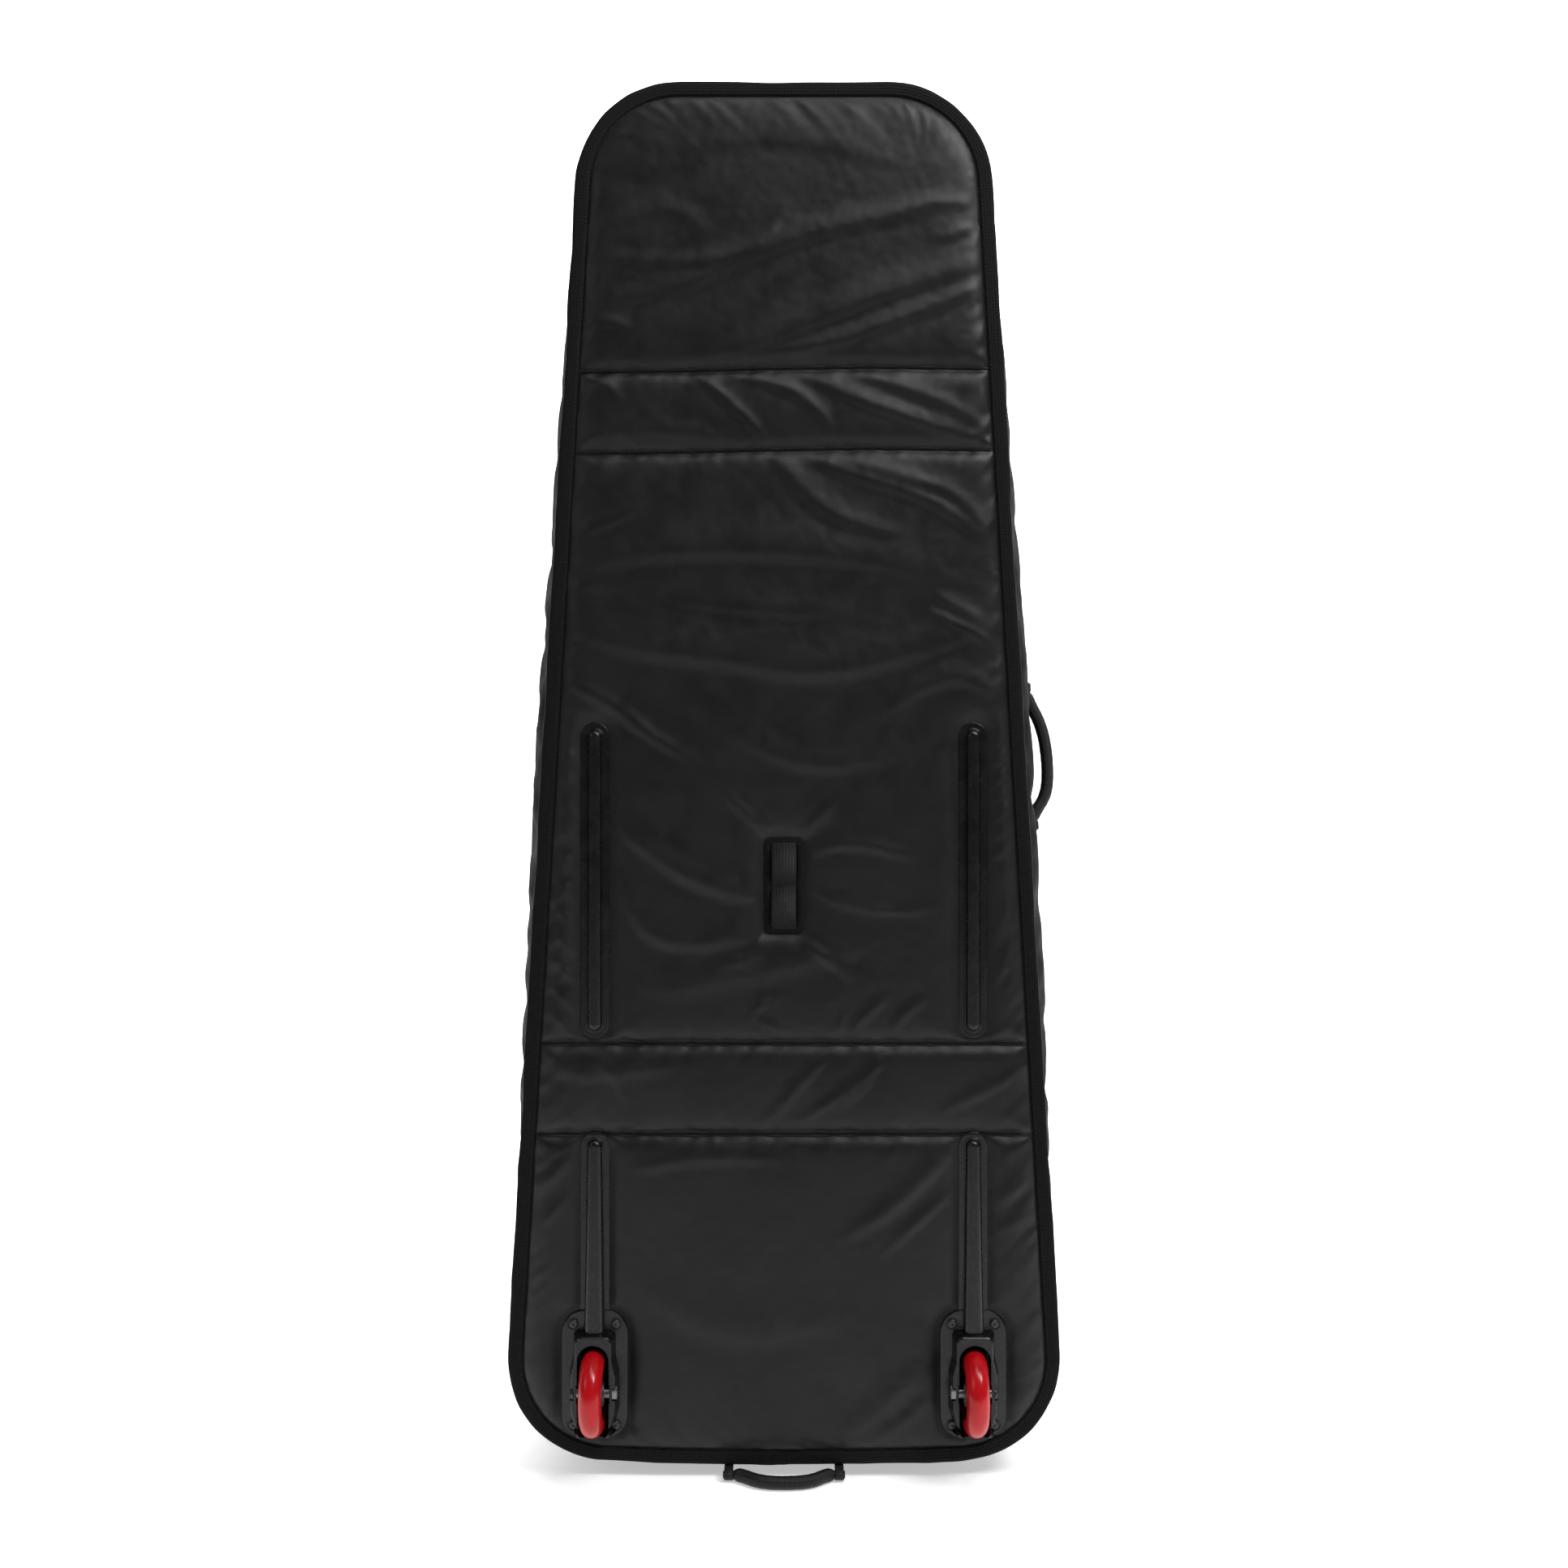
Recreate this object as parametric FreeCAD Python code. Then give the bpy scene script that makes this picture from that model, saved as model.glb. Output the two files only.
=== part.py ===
# A wheeled snowboard bag standing on its tail, zipped shut.
# Row frame, millimetres: +Z up along the bag, -Y the side with the wheels and rails, +Y the side that
# opens, +X the side with the carry handle. The origin is the centre of the base pad's underside.
import FreeCAD, Part
import math
import os

V = FreeCAD.Vector

# ---------------------------------------------------------------- driving dimensions
# Outline of the bag, seen square on to its back.
BODY_LENGTH = 1483.0
NOSE_HALF_WIDTH = 218.0
TAIL_HALF_WIDTH = 302.5
NOSE_CORNER_R = 112.5
TAIL_CORNER_R = 109.5
TAIL_CROWN = 12.3
TAIL_CROWN_R = 4200.0
DEPTH = 200.0
EDGE_LIFT = 13.6

# Sewn layers.
FABRIC = 1.2
BOARD = 2.0
FOAM = 8.0
LINING = 1.0
WALL = 6.0
WALL_INSET = 3.0
WALL_BULGE = 14.0
BINDING_WIDTH = 16.0
BINDING_THICK = 4.5
BINDING_PROUD = 1.5
LAYER_GAP = 0.3
FOLD_SEAMS = (355.0, 452.0, 1087.0, 1174.0)
FOLD_GAP = 8.0

# Lid and zip.
LID_DEPTH = 30.0
BODY_GAP = 0.5
ZIP_TAPE_WIDTH = 12.0
ZIP_TAPE_THICK = 1.2
ZIP_COIL_WIDTH = 4.2
ZIP_COIL_THICK = 2.4
SLIDER_LENGTH = 20.0
SLIDER_WIDTH = 13.0
SLIDER_THICK = 2.2
SLIDER_GAP = 0.4
SLIDER_PARK = 560.0
SLIDER_SPACING = 48.0
BAIL_HEIGHT = 6.0
BAIL_WIDTH = 3.6
BAIL_LENGTH = 9.0
PIN_R = 1.0
PIN_CLEARANCE = 0.25
PULL_LENGTH = 30.0
PULL_WIDTH = 10.0
PULL_THICK = 1.8

# Rails.
TRACK = 405.0
RAIL_HALF_WIDTH = 15.6
RAIL_FLANGE = 1.8
RAIL_STEP_HALF_WIDTH = 9.4
RAIL_STEP = 2.8
RIB_HALF_WIDTH = 7.7
RIB_HEIGHT = 9.0
RIB_ROUND = 6.4
RIB_END_MARGIN = 8.0
UPPER_RAIL = (457.6, 796.0)
LOWER_RAIL_TOP = 357.6
LOWER_RIB_HALF_WIDTH = 10.6
LOWER_RIB_HEIGHT = 15.0
RAIL_SCREW_R = 1.5
RAIL_SCREW_CLEARANCE = 0.05
RAIL_SCREW_HEAD_R = 3.5
RAIL_SCREW_HEAD = 1.8
RAIL_SCREW_BITE = 6.0
UPPER_RAIL_SCREWS = 4
LOWER_RAIL_SCREWS = 3
RAIL_SCREW_MARGIN = 34.0

# Wheels, bearings and axle.
WHEEL_R = 45.0
WHEEL_WIDTH = 24.0
TYRE_SHOULDER_R = 35.5
CORE_R = 27.0
CORE_WIDTH = 21.0
CORE_HOLES = 6
CORE_HOLE_R = 3.6
CORE_HOLE_PITCH_R = 18.5
BEARING_R = 11.0
BEARING_WIDTH = 7.0
BEARING_SPACING = 10.2
BEARING_SHOULDER_R = 9.0
RACE_R = 5.9
SEAL_CLEARANCE = 0.25
AXLE_R = 4.0
AXLE_CLEARANCE = 0.05
SPACER_R = 5.4
BOLT_HEAD_R = 6.6
BOLT_HEAD = 3.4
NUT_ACROSS = 13.0
NUT_HEIGHT = 5.0
AXLE_HEIGHT = 83.5
AXLE_STANDOFF = 17.0

# Wheel housing.
PLATE_WIDTH = 71.0
PLATE_BELOW_AXLE = 53.5
PLATE_ABOVE_AXLE = 83.5
PLATE_CORNER_R = 25.0
PLATE = 3.0
HOUSING_HEIGHT = 22.0
SLOT_HALF_WIDTH = 16.6
WELL_HALF_WIDTH = 15.0
SLOT_ABOVE_AXLE = 51.5
SLOT_BELOW_AXLE = 47.5
SLOT_CORNER_R = 9.0
WELL_WALL = 2.0
WELL_DEPTH = 31.0
EAR_SEAT = 20.6
HOUSING_SCREW_SPACING_X = 45.0
HOUSING_SCREW_SPACING_Z = 108.0
HOUSING_SCREW_R = 2.5
HOUSING_SCREW_CLEARANCE = 0.2
HOUSING_SCREW_HEAD_R = 4.75
HOUSING_SCREW_HEAD = 2.75
HOUSING_SCREW_SEAT_R = 6.4
HOUSING_SCREW_SEAT = 0.8
HEX_ACROSS = 3.0
HEX_DEPTH = 1.6
LOCK_NUT_ACROSS = 8.0
LOCK_NUT = 4.5
BACKING_PLATE = 2.0
CUTOUT_CLEARANCE = 0.6
FOAM_CLEARANCE = 4.0

# Storage loops on the back.
PATCH_WIDTH = 42.6
PATCH_LENGTH = 101.0
PATCH_HEIGHT = 621.0
PATCH_THICK = 1.2
PATCH_TRIM = 7.5
PATCH_TRIM_THICK = 1.2
LOOP_WIDTH = 25.5
LOOP_THICK = 1.6
LOOP_GAP = 7.5
LOOP_SEAM = 3.0

# Handles: round grips whose ends turn in sewn sleeves.
GRIP_R = 7.0
GRIP_END_R = 4.0
GRIP_END = 24.0
SLEEVE_LENGTH = 10.0
SLEEVE_MARGIN = 1.0
HANDLE_CLEARANCE = 1.0
SLEEVE_CLEARANCE = 0.4
SLEEVE_THICK = 1.5
TAB_WIDTH = 26.0
TAB_LENGTH = 34.0
TAB_THICK = 1.4
SIDE_HANDLE = (676.0, 844.0)
SIDE_HANDLE_REACH = 20.0
TAIL_HANDLE_SPAN = 130.0
TAIL_HANDLE_REACH = 21.5
TAIL_TAB_LENGTH = 54.0
NOSE_HANDLE_SPAN = 170.0
NOSE_HANDLE_REACH = 42.0
NOSE_HANDLE_SET_BACK = 18.0

# Base pad.
PAD_HALF_WIDTH = 150.0
PAD_TAB_GAP = 3.5
PAD_ZIP_GAP = 0.0
PAD_CHAMFER = 6.0

# ---------------------------------------------------------------- derived places
BACK = -DEPTH / 2
FRONT = DEPTH / 2
SPLIT = FRONT - LID_DEPTH
AXLE_Z = EDGE_LIFT + AXLE_HEIGHT
AXLE_Y = BACK - AXLE_STANDOFF
PLATE_Z0 = AXLE_Z - PLATE_BELOW_AXLE
PLATE_Z1 = AXLE_Z + PLATE_ABOVE_AXLE
WALL_INNER = WALL_INSET + WALL
BOARD_Y = BACK + FABRIC
FOAM_Y = BOARD_Y + BOARD
LINING_Y = FOAM_Y + FOAM
INSIDE_Y = LINING_Y + LINING
LID_INSIDE_Y = FRONT - FABRIC - FOAM - LINING
WALL_START = BACK - BINDING_PROUD + BINDING_THICK
CROWN_RISE = TAIL_CROWN_R * (1 / math.cos(math.atan2(TAIL_CROWN, TAIL_HALF_WIDTH)) - 1)
TAIL_CORNER_Z = TAIL_CROWN - CROWN_RISE
SIDES = {"left": -1, "right": 1}


# ---------------------------------------------------------------- building blocks
def rounded(points, radii, closed=True):
    """A wire through the points, each corner rounded by a tangent arc of its radius."""
    count = len(points)
    starts, ends, arcs = [], [], []
    for i, corner in enumerate(points):
        if radii[i] <= 0 or (not closed and i in (0, count - 1)):
            starts.append(corner)
            ends.append(corner)
            arcs.append(None)
            continue
        back = (points[i - 1] - corner).normalize()
        ahead = (points[(i + 1) % count] - corner).normalize()
        half = math.acos(max(-1.0, min(1.0, back.dot(ahead)))) / 2
        reach = radii[i] / math.tan(half)
        bisector = (back + ahead).normalize()
        middle = corner + bisector * (radii[i] / math.sin(half) - radii[i])
        starts.append(corner + back * reach)
        ends.append(corner + ahead * reach)
        arcs.append(middle)
    edges = []
    for i in range(count):
        if arcs[i] is not None:
            edges.append(Part.Arc(starts[i], arcs[i], ends[i]).toShape())
        if i == count - 1 and not closed:
            break
        here, there = ends[i], starts[(i + 1) % count]
        if (there - here).Length > 1e-6:
            edges.append(Part.makeLine(here, there))
    return Part.Wire(edges)


def outline_corners(inset):
    """The outline's corners and radii, moved in from the edge by inset."""
    corners = [
        (-TAIL_HALF_WIDTH, TAIL_CORNER_Z, TAIL_CORNER_R),
        (0.0, -CROWN_RISE, TAIL_CROWN_R),
        (TAIL_HALF_WIDTH, TAIL_CORNER_Z, TAIL_CORNER_R),
        (NOSE_HALF_WIDTH, BODY_LENGTH, NOSE_CORNER_R),
        (-NOSE_HALF_WIDTH, BODY_LENGTH, NOSE_CORNER_R),
    ]
    moved = []
    for i, (x, z, radius) in enumerate(corners):
        before = V(x, 0, z) - V(corners[i - 1][0], 0, corners[i - 1][1])
        following = corners[(i + 1) % len(corners)]
        after = V(following[0], 0, following[1]) - V(x, 0, z)
        before.normalize()
        after.normalize()
        inward = V(-before.z, 0, before.x) + V(-after.z, 0, after.x)
        inward.normalize()
        lean = inward.dot(V(-after.z, 0, after.x))
        place = V(x, 0, z + EDGE_LIFT) + inward * (inset / lean)
        moved.append((place, radius - inset))
    return moved


def prism(inset, y0, y1):
    """A solid of the outline moved in by inset, from y0 to y1."""
    corners = outline_corners(inset)
    wire = rounded([p + V(0, y0, 0) for p, _ in corners], [r for _, r in corners])
    return Part.Face(wire).extrude(V(0, y1 - y0, 0))


def ring(outer, inner, y0, y1):
    """A band that follows the outline between two insets."""
    return prism(outer, y0, y1).cut(prism(inner, y0 - 1, y1 + 1))


def box(x0, x1, y0, y1, z0, z1):
    """A plain block between two corners."""
    return Part.makeBox(x1 - x0, y1 - y0, z1 - z0, V(x0, y0, z0))


def slab(x, z0, z1, half_width, corner_r, y, height):
    """A rounded plate that stands out of the back by height, from the plane y."""
    points = [
        V(x - half_width, y, z0),
        V(x + half_width, y, z0),
        V(x + half_width, y, z1),
        V(x - half_width, y, z1),
    ]
    return Part.Face(rounded(points, [corner_r] * 4)).extrude(V(0, -height, 0))


def soften(solid, y, radius):
    """Rounds the edges that lie wholly in the plane y."""
    edges = [e for e in solid.Edges if all(abs(v.Y - y) < 1e-4 for v in e.Vertexes)]
    return solid.makeFillet(radius, edges)


def rod_y(x, z, radius, y0, y1):
    """A round bar along Y."""
    return Part.makeCylinder(radius, y1 - y0, V(x, y0, z), V(0, 1, 0))


def rod_x(x0, x1, y, z, radius):
    """A round bar along X."""
    return Part.makeCylinder(radius, x1 - x0, V(x0, y, z), V(1, 0, 0))


def hexagon_y(x, z, across, y0, y1):
    """A hexagonal bar along Y."""
    corner = across / math.sqrt(3)
    points = []
    for k in range(6):
        turn = math.radians(60 * k)
        points.append(V(x + corner * math.cos(turn), y0, z + corner * math.sin(turn)))
    return Part.Face(Part.makePolygon(points + points[:1])).extrude(V(0, y1 - y0, 0))


def tube_along(path, radius):
    """A round bar that follows a smooth path."""
    start = path.Edges[0]
    first = start.FirstParameter
    circle = Part.makeCircle(radius, start.valueAt(first), start.tangentAt(first))
    return path.makePipeShell([Part.Wire(circle)], True, True)


def one(shape):
    """The single clean solid of a boolean result."""
    shape = shape.removeSplitter()
    return shape.Solids[0] if len(shape.Solids) == 1 else shape


def group(solids):
    """Several separate solids in one node."""
    return Part.makeCompound(solids)


# ---------------------------------------------------------------- the side edge's own frame
def side_frame(side, height):
    """A point on a side edge at a height above the outline's foot, with its up and outward directions."""
    foot = V(TAIL_HALF_WIDTH, 0, TAIL_CORNER_Z + EDGE_LIFT)
    head = V(NOSE_HALF_WIDTH, 0, BODY_LENGTH + EDGE_LIFT)
    up = (head - foot).normalize()
    point = foot + up * ((height + EDGE_LIFT - foot.z) / up.z)
    out = V(up.z, 0, -up.x)
    mirror = SIDES[side]
    return V(mirror * point.x, 0, point.z), V(mirror * up.x, 0, up.z), V(mirror * out.x, 0, out.z)


def corner_tangents():
    """Heights of the straight part of each side, between the tail and nose corners."""
    (tail, tail_r), (nose, nose_r) = outline_corners(0)[2], outline_corners(0)[3]
    bottom, above = outline_corners(0)[1][0], nose - tail
    tail_turn = (bottom - tail).getAngle(above)
    nose_turn = (tail - nose).getAngle(V(-1, 0, 0))
    low = tail.z + tail_r / math.tan(tail_turn / 2)
    high = nose.z - nose_r / math.tan(nose_turn / 2)
    return low, high


SIDE_Z0, SIDE_Z1 = corner_tangents()


def slice_z(shape, z0, z1, side=None):
    """The part of a shape between two heights, on one side if asked."""
    reach = 2 * TAIL_HALF_WIDTH
    x0, x1 = {None: (-reach, reach), "left": (-reach, 0), "right": (0, reach)}[side]
    return shape.common(box(x0, x1, -2 * DEPTH, 2 * DEPTH, z0, z1))


# ---------------------------------------------------------------- walls, layers and bindings
def housing_cutout(side, grow, y0, y1):
    """The hole that a wheel well needs through a layer."""
    x = SIDES[side] * TRACK / 2
    half = WELL_HALF_WIDTH + WELL_WALL + grow
    z0 = AXLE_Z - SLOT_BELOW_AXLE - WELL_WALL - grow
    z1 = AXLE_Z + SLOT_ABOVE_AXLE + WELL_WALL + grow
    return slab(x, z0, z1, half, SLOT_CORNER_R + grow, y1, y1 - y0)


def housing_screw_places(side):
    """Centres of one housing's four screws."""
    x = SIDES[side] * TRACK / 2
    z = (PLATE_Z0 + PLATE_Z1) / 2
    dx, dz = HOUSING_SCREW_SPACING_X / 2, HOUSING_SCREW_SPACING_Z / 2
    return [(x + i * dx, z + k * dz) for k in (-1, 1) for i in (-1, 1)]


def rail_screw_places():
    """Centres of the screws that hold each rail, as a list for each rail."""
    places = []
    lower_end = PLATE_Z1
    spans = [
        (UPPER_RAIL[0] + EDGE_LIFT, UPPER_RAIL[1] + EDGE_LIFT, UPPER_RAIL_SCREWS),
        (lower_end, LOWER_RAIL_TOP + EDGE_LIFT, LOWER_RAIL_SCREWS),
    ]
    for side in SIDES:
        x = SIDES[side] * TRACK / 2
        for low, high, count in spans:
            low, high = low + RAIL_SCREW_MARGIN, high - RAIL_SCREW_MARGIN
            step = (high - low) / (count - 1)
            places.append([(x, low + step * k) for k in range(count)])
    return places


def pierce_for_housings(layer, grow, y0, y1):
    """Opens a back layer for both wheel wells and their screws."""
    for side in SIDES:
        layer = layer.cut(housing_cutout(side, grow, y0 - 1, y1 + 1))
        for x, z in housing_screw_places(side):
            radius = HOUSING_SCREW_R + HOUSING_SCREW_CLEARANCE
            layer = layer.cut(rod_y(x, z, radius, y0 - 1, y1 + 1))
    return layer


def pierce_for_rail_screws(layer, radius, y0, y1):
    """Drills a back layer for the rail screws."""
    for places in rail_screw_places():
        for x, z in places:
            layer = layer.cut(rod_y(x, z, radius, y0, y1))
    return layer


def back_fabric():
    """The outer fabric of the back, inside its binding."""
    sheet = prism(BINDING_WIDTH, BACK, BOARD_Y)
    sheet = pierce_for_housings(sheet, CUTOUT_CLEARANCE, BACK, BOARD_Y)
    return one(pierce_for_rail_screws(sheet, RAIL_SCREW_R + RAIL_SCREW_CLEARANCE, BACK - 1, BOARD_Y + 1))


def stiffener_boards():
    """Three boards, with the bag free to fold between them."""
    whole = prism(BINDING_WIDTH + LAYER_GAP, BOARD_Y, FOAM_Y)
    whole = pierce_for_housings(whole, CUTOUT_CLEARANCE, BOARD_Y, FOAM_Y)
    whole = pierce_for_rail_screws(whole, RAIL_SCREW_R + RAIL_SCREW_CLEARANCE, BOARD_Y - 1, FOAM_Y + 1)
    seams = [z + EDGE_LIFT for z in FOLD_SEAMS]
    top = EDGE_LIFT + BODY_LENGTH
    spans = [
        (0, seams[0] - FOLD_GAP / 2),
        (seams[1] + FOLD_GAP / 2, seams[2] - FOLD_GAP / 2),
        (seams[3] + FOLD_GAP / 2, top),
    ]
    return group([one(slice_z(whole, low, high)) for low, high in spans])


def back_foam():
    """The padding behind the boards, with pockets over the housings and the screw heads."""
    pad = prism(WALL_INNER + LAYER_GAP, FOAM_Y, LINING_Y)
    for side in SIDES:
        x = SIDES[side] * TRACK / 2
        half = PLATE_WIDTH / 2 + FOAM_CLEARANCE
        low, high = PLATE_Z0 - FOAM_CLEARANCE, PLATE_Z1 + FOAM_CLEARANCE
        pad = pad.cut(slab(x, low, high, half, PLATE_CORNER_R, LINING_Y + 1, FOAM + 2))
    pocket = FOAM_Y + RAIL_SCREW_HEAD + LAYER_GAP
    return one(pierce_for_rail_screws(pad, RAIL_SCREW_HEAD_R + LAYER_GAP, FOAM_Y - 1, pocket))


def back_lining():
    """The inner fabric over the padding, open over each wheel housing."""
    sheet = prism(WALL_INNER + LAYER_GAP, LINING_Y, INSIDE_Y)
    for side in SIDES:
        x = SIDES[side] * TRACK / 2
        half = PLATE_WIDTH / 2 + FOAM_CLEARANCE
        low, high = PLATE_Z0 - FOAM_CLEARANCE, PLATE_Z1 + FOAM_CLEARANCE
        sheet = sheet.cut(slab(x, low, high, half, PLATE_CORNER_R, INSIDE_Y + 1, LINING + 2))
    return one(sheet)


def back_binding():
    """The tape that binds the back panel to the walls."""
    tape = ring(0, BINDING_WIDTH, BACK - BINDING_PROUD, WALL_START)
    return one(soften(tape, BACK - BINDING_PROUD, BINDING_PROUD * 0.8))


def end_wall(z0, z1):
    """The wall round the nose or the tail, up to the zip."""
    return one(slice_z(ring(WALL_INSET, WALL_INNER, WALL_START, SPLIT - BODY_GAP / 2), z0, z1))


def side_wall(side):
    """A long wall, bulged outwards by its padding, flat at both ends and along the zip."""
    y0, y1, y2 = WALL_START, SPLIT - ZIP_TAPE_WIDTH, SPLIT - BODY_GAP / 2
    sections = []
    for share in (0.0, 0.15, 0.5, 0.85, 1.0):
        height = SIDE_Z0 + (SIDE_Z1 - SIDE_Z0) * share - EDGE_LIFT
        bulge = max(LAYER_GAP, WALL_BULGE * math.sin(math.pi * share))
        point, _, out = side_frame(side, height)
        outer = [point + out * -WALL_INSET + V(0, y, 0) for y in (y0, y1, y2)]
        inner = [p + out * -WALL for p in outer]
        middle = out * bulge + V(0, (y0 + y1) / 2, 0)
        edges = [
            Part.Arc(outer[0], point + out * -WALL_INSET + middle, outer[1]).toShape(),
            Part.makeLine(outer[1], outer[2]),
            Part.makeLine(outer[2], inner[2]),
            Part.makeLine(inner[2], inner[1]),
            Part.Arc(inner[1], point + out * -WALL_INNER + middle, inner[0]).toShape(),
            Part.makeLine(inner[0], outer[0]),
        ]
        sections.append(Part.Wire(edges))
    return slice_z(Part.makeLoft(sections, True), SIDE_Z0, SIDE_Z1)


def tail_bumper():
    """The padded scuff panel that the bag stands on."""
    top = EDGE_LIFT + WALL_INSET + TAIL_CORNER_Z
    front = tail_handle_ends()[0].y + TAIL_TAB_LENGTH + PAD_TAB_GAP
    back = SPLIT - ZIP_TAPE_WIDTH - PAD_ZIP_GAP
    block = box(-PAD_HALF_WIDTH, PAD_HALF_WIDTH, front, back, 0, top)
    lower = [e for e in block.Edges if all(abs(v.Z) < 1e-6 for v in e.Vertexes)]
    block = block.makeChamfer(PAD_CHAMFER, lower)
    return one(block.cut(prism(WALL_INSET, BACK, FRONT)))


# ---------------------------------------------------------------- rails
def upper_rail(side):
    """A skid rail: a flange, a step and a domed rib."""
    x = SIDES[side] * TRACK / 2
    z0, z1 = (z + EDGE_LIFT for z in UPPER_RAIL)
    flange = slab(x, z0, z1, RAIL_HALF_WIDTH, RAIL_HALF_WIDTH, BACK, RAIL_FLANGE)
    flange = soften(flange, BACK - RAIL_FLANGE, RAIL_FLANGE * 0.45)
    inset = RAIL_HALF_WIDTH - RAIL_STEP_HALF_WIDTH
    step = slab(x, z0 + inset, z1 - inset, RAIL_STEP_HALF_WIDTH, RAIL_STEP_HALF_WIDTH, BACK, RAIL_STEP)
    step = soften(step, BACK - RAIL_STEP, (RAIL_STEP - RAIL_FLANGE) * 0.45)
    rib = slab(x, z0 + RIB_END_MARGIN, z1 - RIB_END_MARGIN, RIB_HALF_WIDTH, RIB_HALF_WIDTH, BACK, RIB_HEIGHT)
    rib = soften(rib, BACK - RIB_HEIGHT, RIB_ROUND)
    return drilled_rail(flange.fuse([step, rib]))


def drilled_rail(rail):
    """A rail with a pilot hole at each of its screws."""
    for places in rail_screw_places():
        for x, z in places:
            radius = RAIL_SCREW_R + RAIL_SCREW_CLEARANCE
            rail = rail.cut(rod_y(x, z, radius, BACK - RAIL_SCREW_BITE - 0.5, BACK + 1))
    return one(rail)


def tapered_rib(x, z0, z1):
    """A rib that grows wider and taller towards the wheel."""
    points = [
        V(x - LOWER_RIB_HALF_WIDTH, BACK, z0),
        V(x + LOWER_RIB_HALF_WIDTH, BACK, z0),
        V(x + RIB_HALF_WIDTH, BACK, z1),
        V(x - RIB_HALF_WIDTH, BACK, z1),
    ]
    end_round = RIB_HALF_WIDTH * 0.98
    wire = rounded(points, [0, 0, end_round, end_round])
    rib = Part.Face(wire).extrude(V(0, -LOWER_RIB_HEIGHT, 0))
    reach = 2 * LOWER_RIB_HALF_WIDTH
    side_view = [
        V(x - reach, BACK + 1, z0 - 1),
        V(x - reach, BACK - LOWER_RIB_HEIGHT, z0 - 1),
        V(x - reach, BACK - RIB_HEIGHT, z1 + 1),
        V(x - reach, BACK + 1, z1 + 1),
    ]
    wedge = Part.Face(Part.makePolygon(side_view + side_view[:1])).extrude(V(2 * reach, 0, 0))
    rib = rib.common(wedge)
    top = []
    for edge in rib.Edges:
        if all(v.Y < BACK - RIB_HEIGHT + 0.1 for v in edge.Vertexes):
            if not all(abs(v.Z - z0) < 1e-4 for v in edge.Vertexes):
                top.append(edge)
    return rib.makeFillet(RIB_ROUND, top)


def lower_rail(side):
    """A skid rail whose lower end runs up into the wheel housing."""
    x = SIDES[side] * TRACK / 2
    z1 = LOWER_RAIL_TOP + EDGE_LIFT
    z0 = AXLE_Z + SLOT_ABOVE_AXLE + WELL_WALL
    flange = slab(x, z0, z1, RAIL_HALF_WIDTH, RAIL_HALF_WIDTH, BACK, RAIL_FLANGE)
    flange = soften(flange, BACK - RAIL_FLANGE, RAIL_FLANGE * 0.45)
    inset = RAIL_HALF_WIDTH - RAIL_STEP_HALF_WIDTH
    step = slab(x, z0, z1 - inset, RAIL_STEP_HALF_WIDTH, RAIL_STEP_HALF_WIDTH, BACK, RAIL_STEP)
    rib = tapered_rib(x, z0, z1 - RIB_END_MARGIN)
    rail = flange.fuse([step, rib])
    rail = rail.cut(slab(x, PLATE_Z0, PLATE_Z1 + LAYER_GAP, PLATE_WIDTH / 2, PLATE_CORNER_R, BACK + 1,
                         PLATE + LAYER_GAP + 1))
    rail = rail.cut(housing_body(side, LAYER_GAP))
    solids = sorted(rail.Solids, key=lambda s: s.Volume)
    return drilled_rail(solids[-1])


def rail_screws():
    """The screws that hold the rails from inside the bag."""
    screws = []
    for places in rail_screw_places():
        for x, z in places:
            head = rod_y(x, z, RAIL_SCREW_HEAD_R, FOAM_Y, FOAM_Y + RAIL_SCREW_HEAD)
            shank = rod_y(x, z, RAIL_SCREW_R, BACK - RAIL_SCREW_BITE, FOAM_Y)
            screws.append(one(head.fuse(shank)))
    return group(screws)


# ---------------------------------------------------------------- wheel housings
def housing_contour(side, grow, y):
    """The raised body's outline, narrow at its shoulder and wide at the axle."""
    x = SIDES[side] * TRACK / 2
    half = [(63.5, 22.6), (36.0, 22.6), (19.0, 26.7), (-18.0, 26.7), (-33.0, 22.6), (-49.5, 22.6)]
    right = [V(x + w + grow, y, AXLE_Z + z) for z, w in half]
    left = [V(x - w - grow, y, AXLE_Z + z) for z, w in reversed(half)]
    right[0].z += grow
    left[-1].z += grow
    right[-1].z -= grow
    left[0].z -= grow
    radii = [7.0, 10.0, 6.0, 6.0, 6.0, 5.0]
    return rounded(right + left, radii + radii[::-1])


def housing_body(side, grow):
    """The raised body, drawn in towards its rim, with a bevel round the rim."""
    draft, bevel = 3.2, 1.2
    top = BACK - HOUSING_HEIGHT - grow
    foot = housing_contour(side, grow, BACK - PLATE)
    shoulder = housing_contour(side, grow - draft, top + bevel)
    rim = housing_contour(side, grow - draft - bevel, top)
    return Part.makeLoft([foot, shoulder], True, True).fuse(Part.makeLoft([shoulder, rim], True, True))


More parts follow.
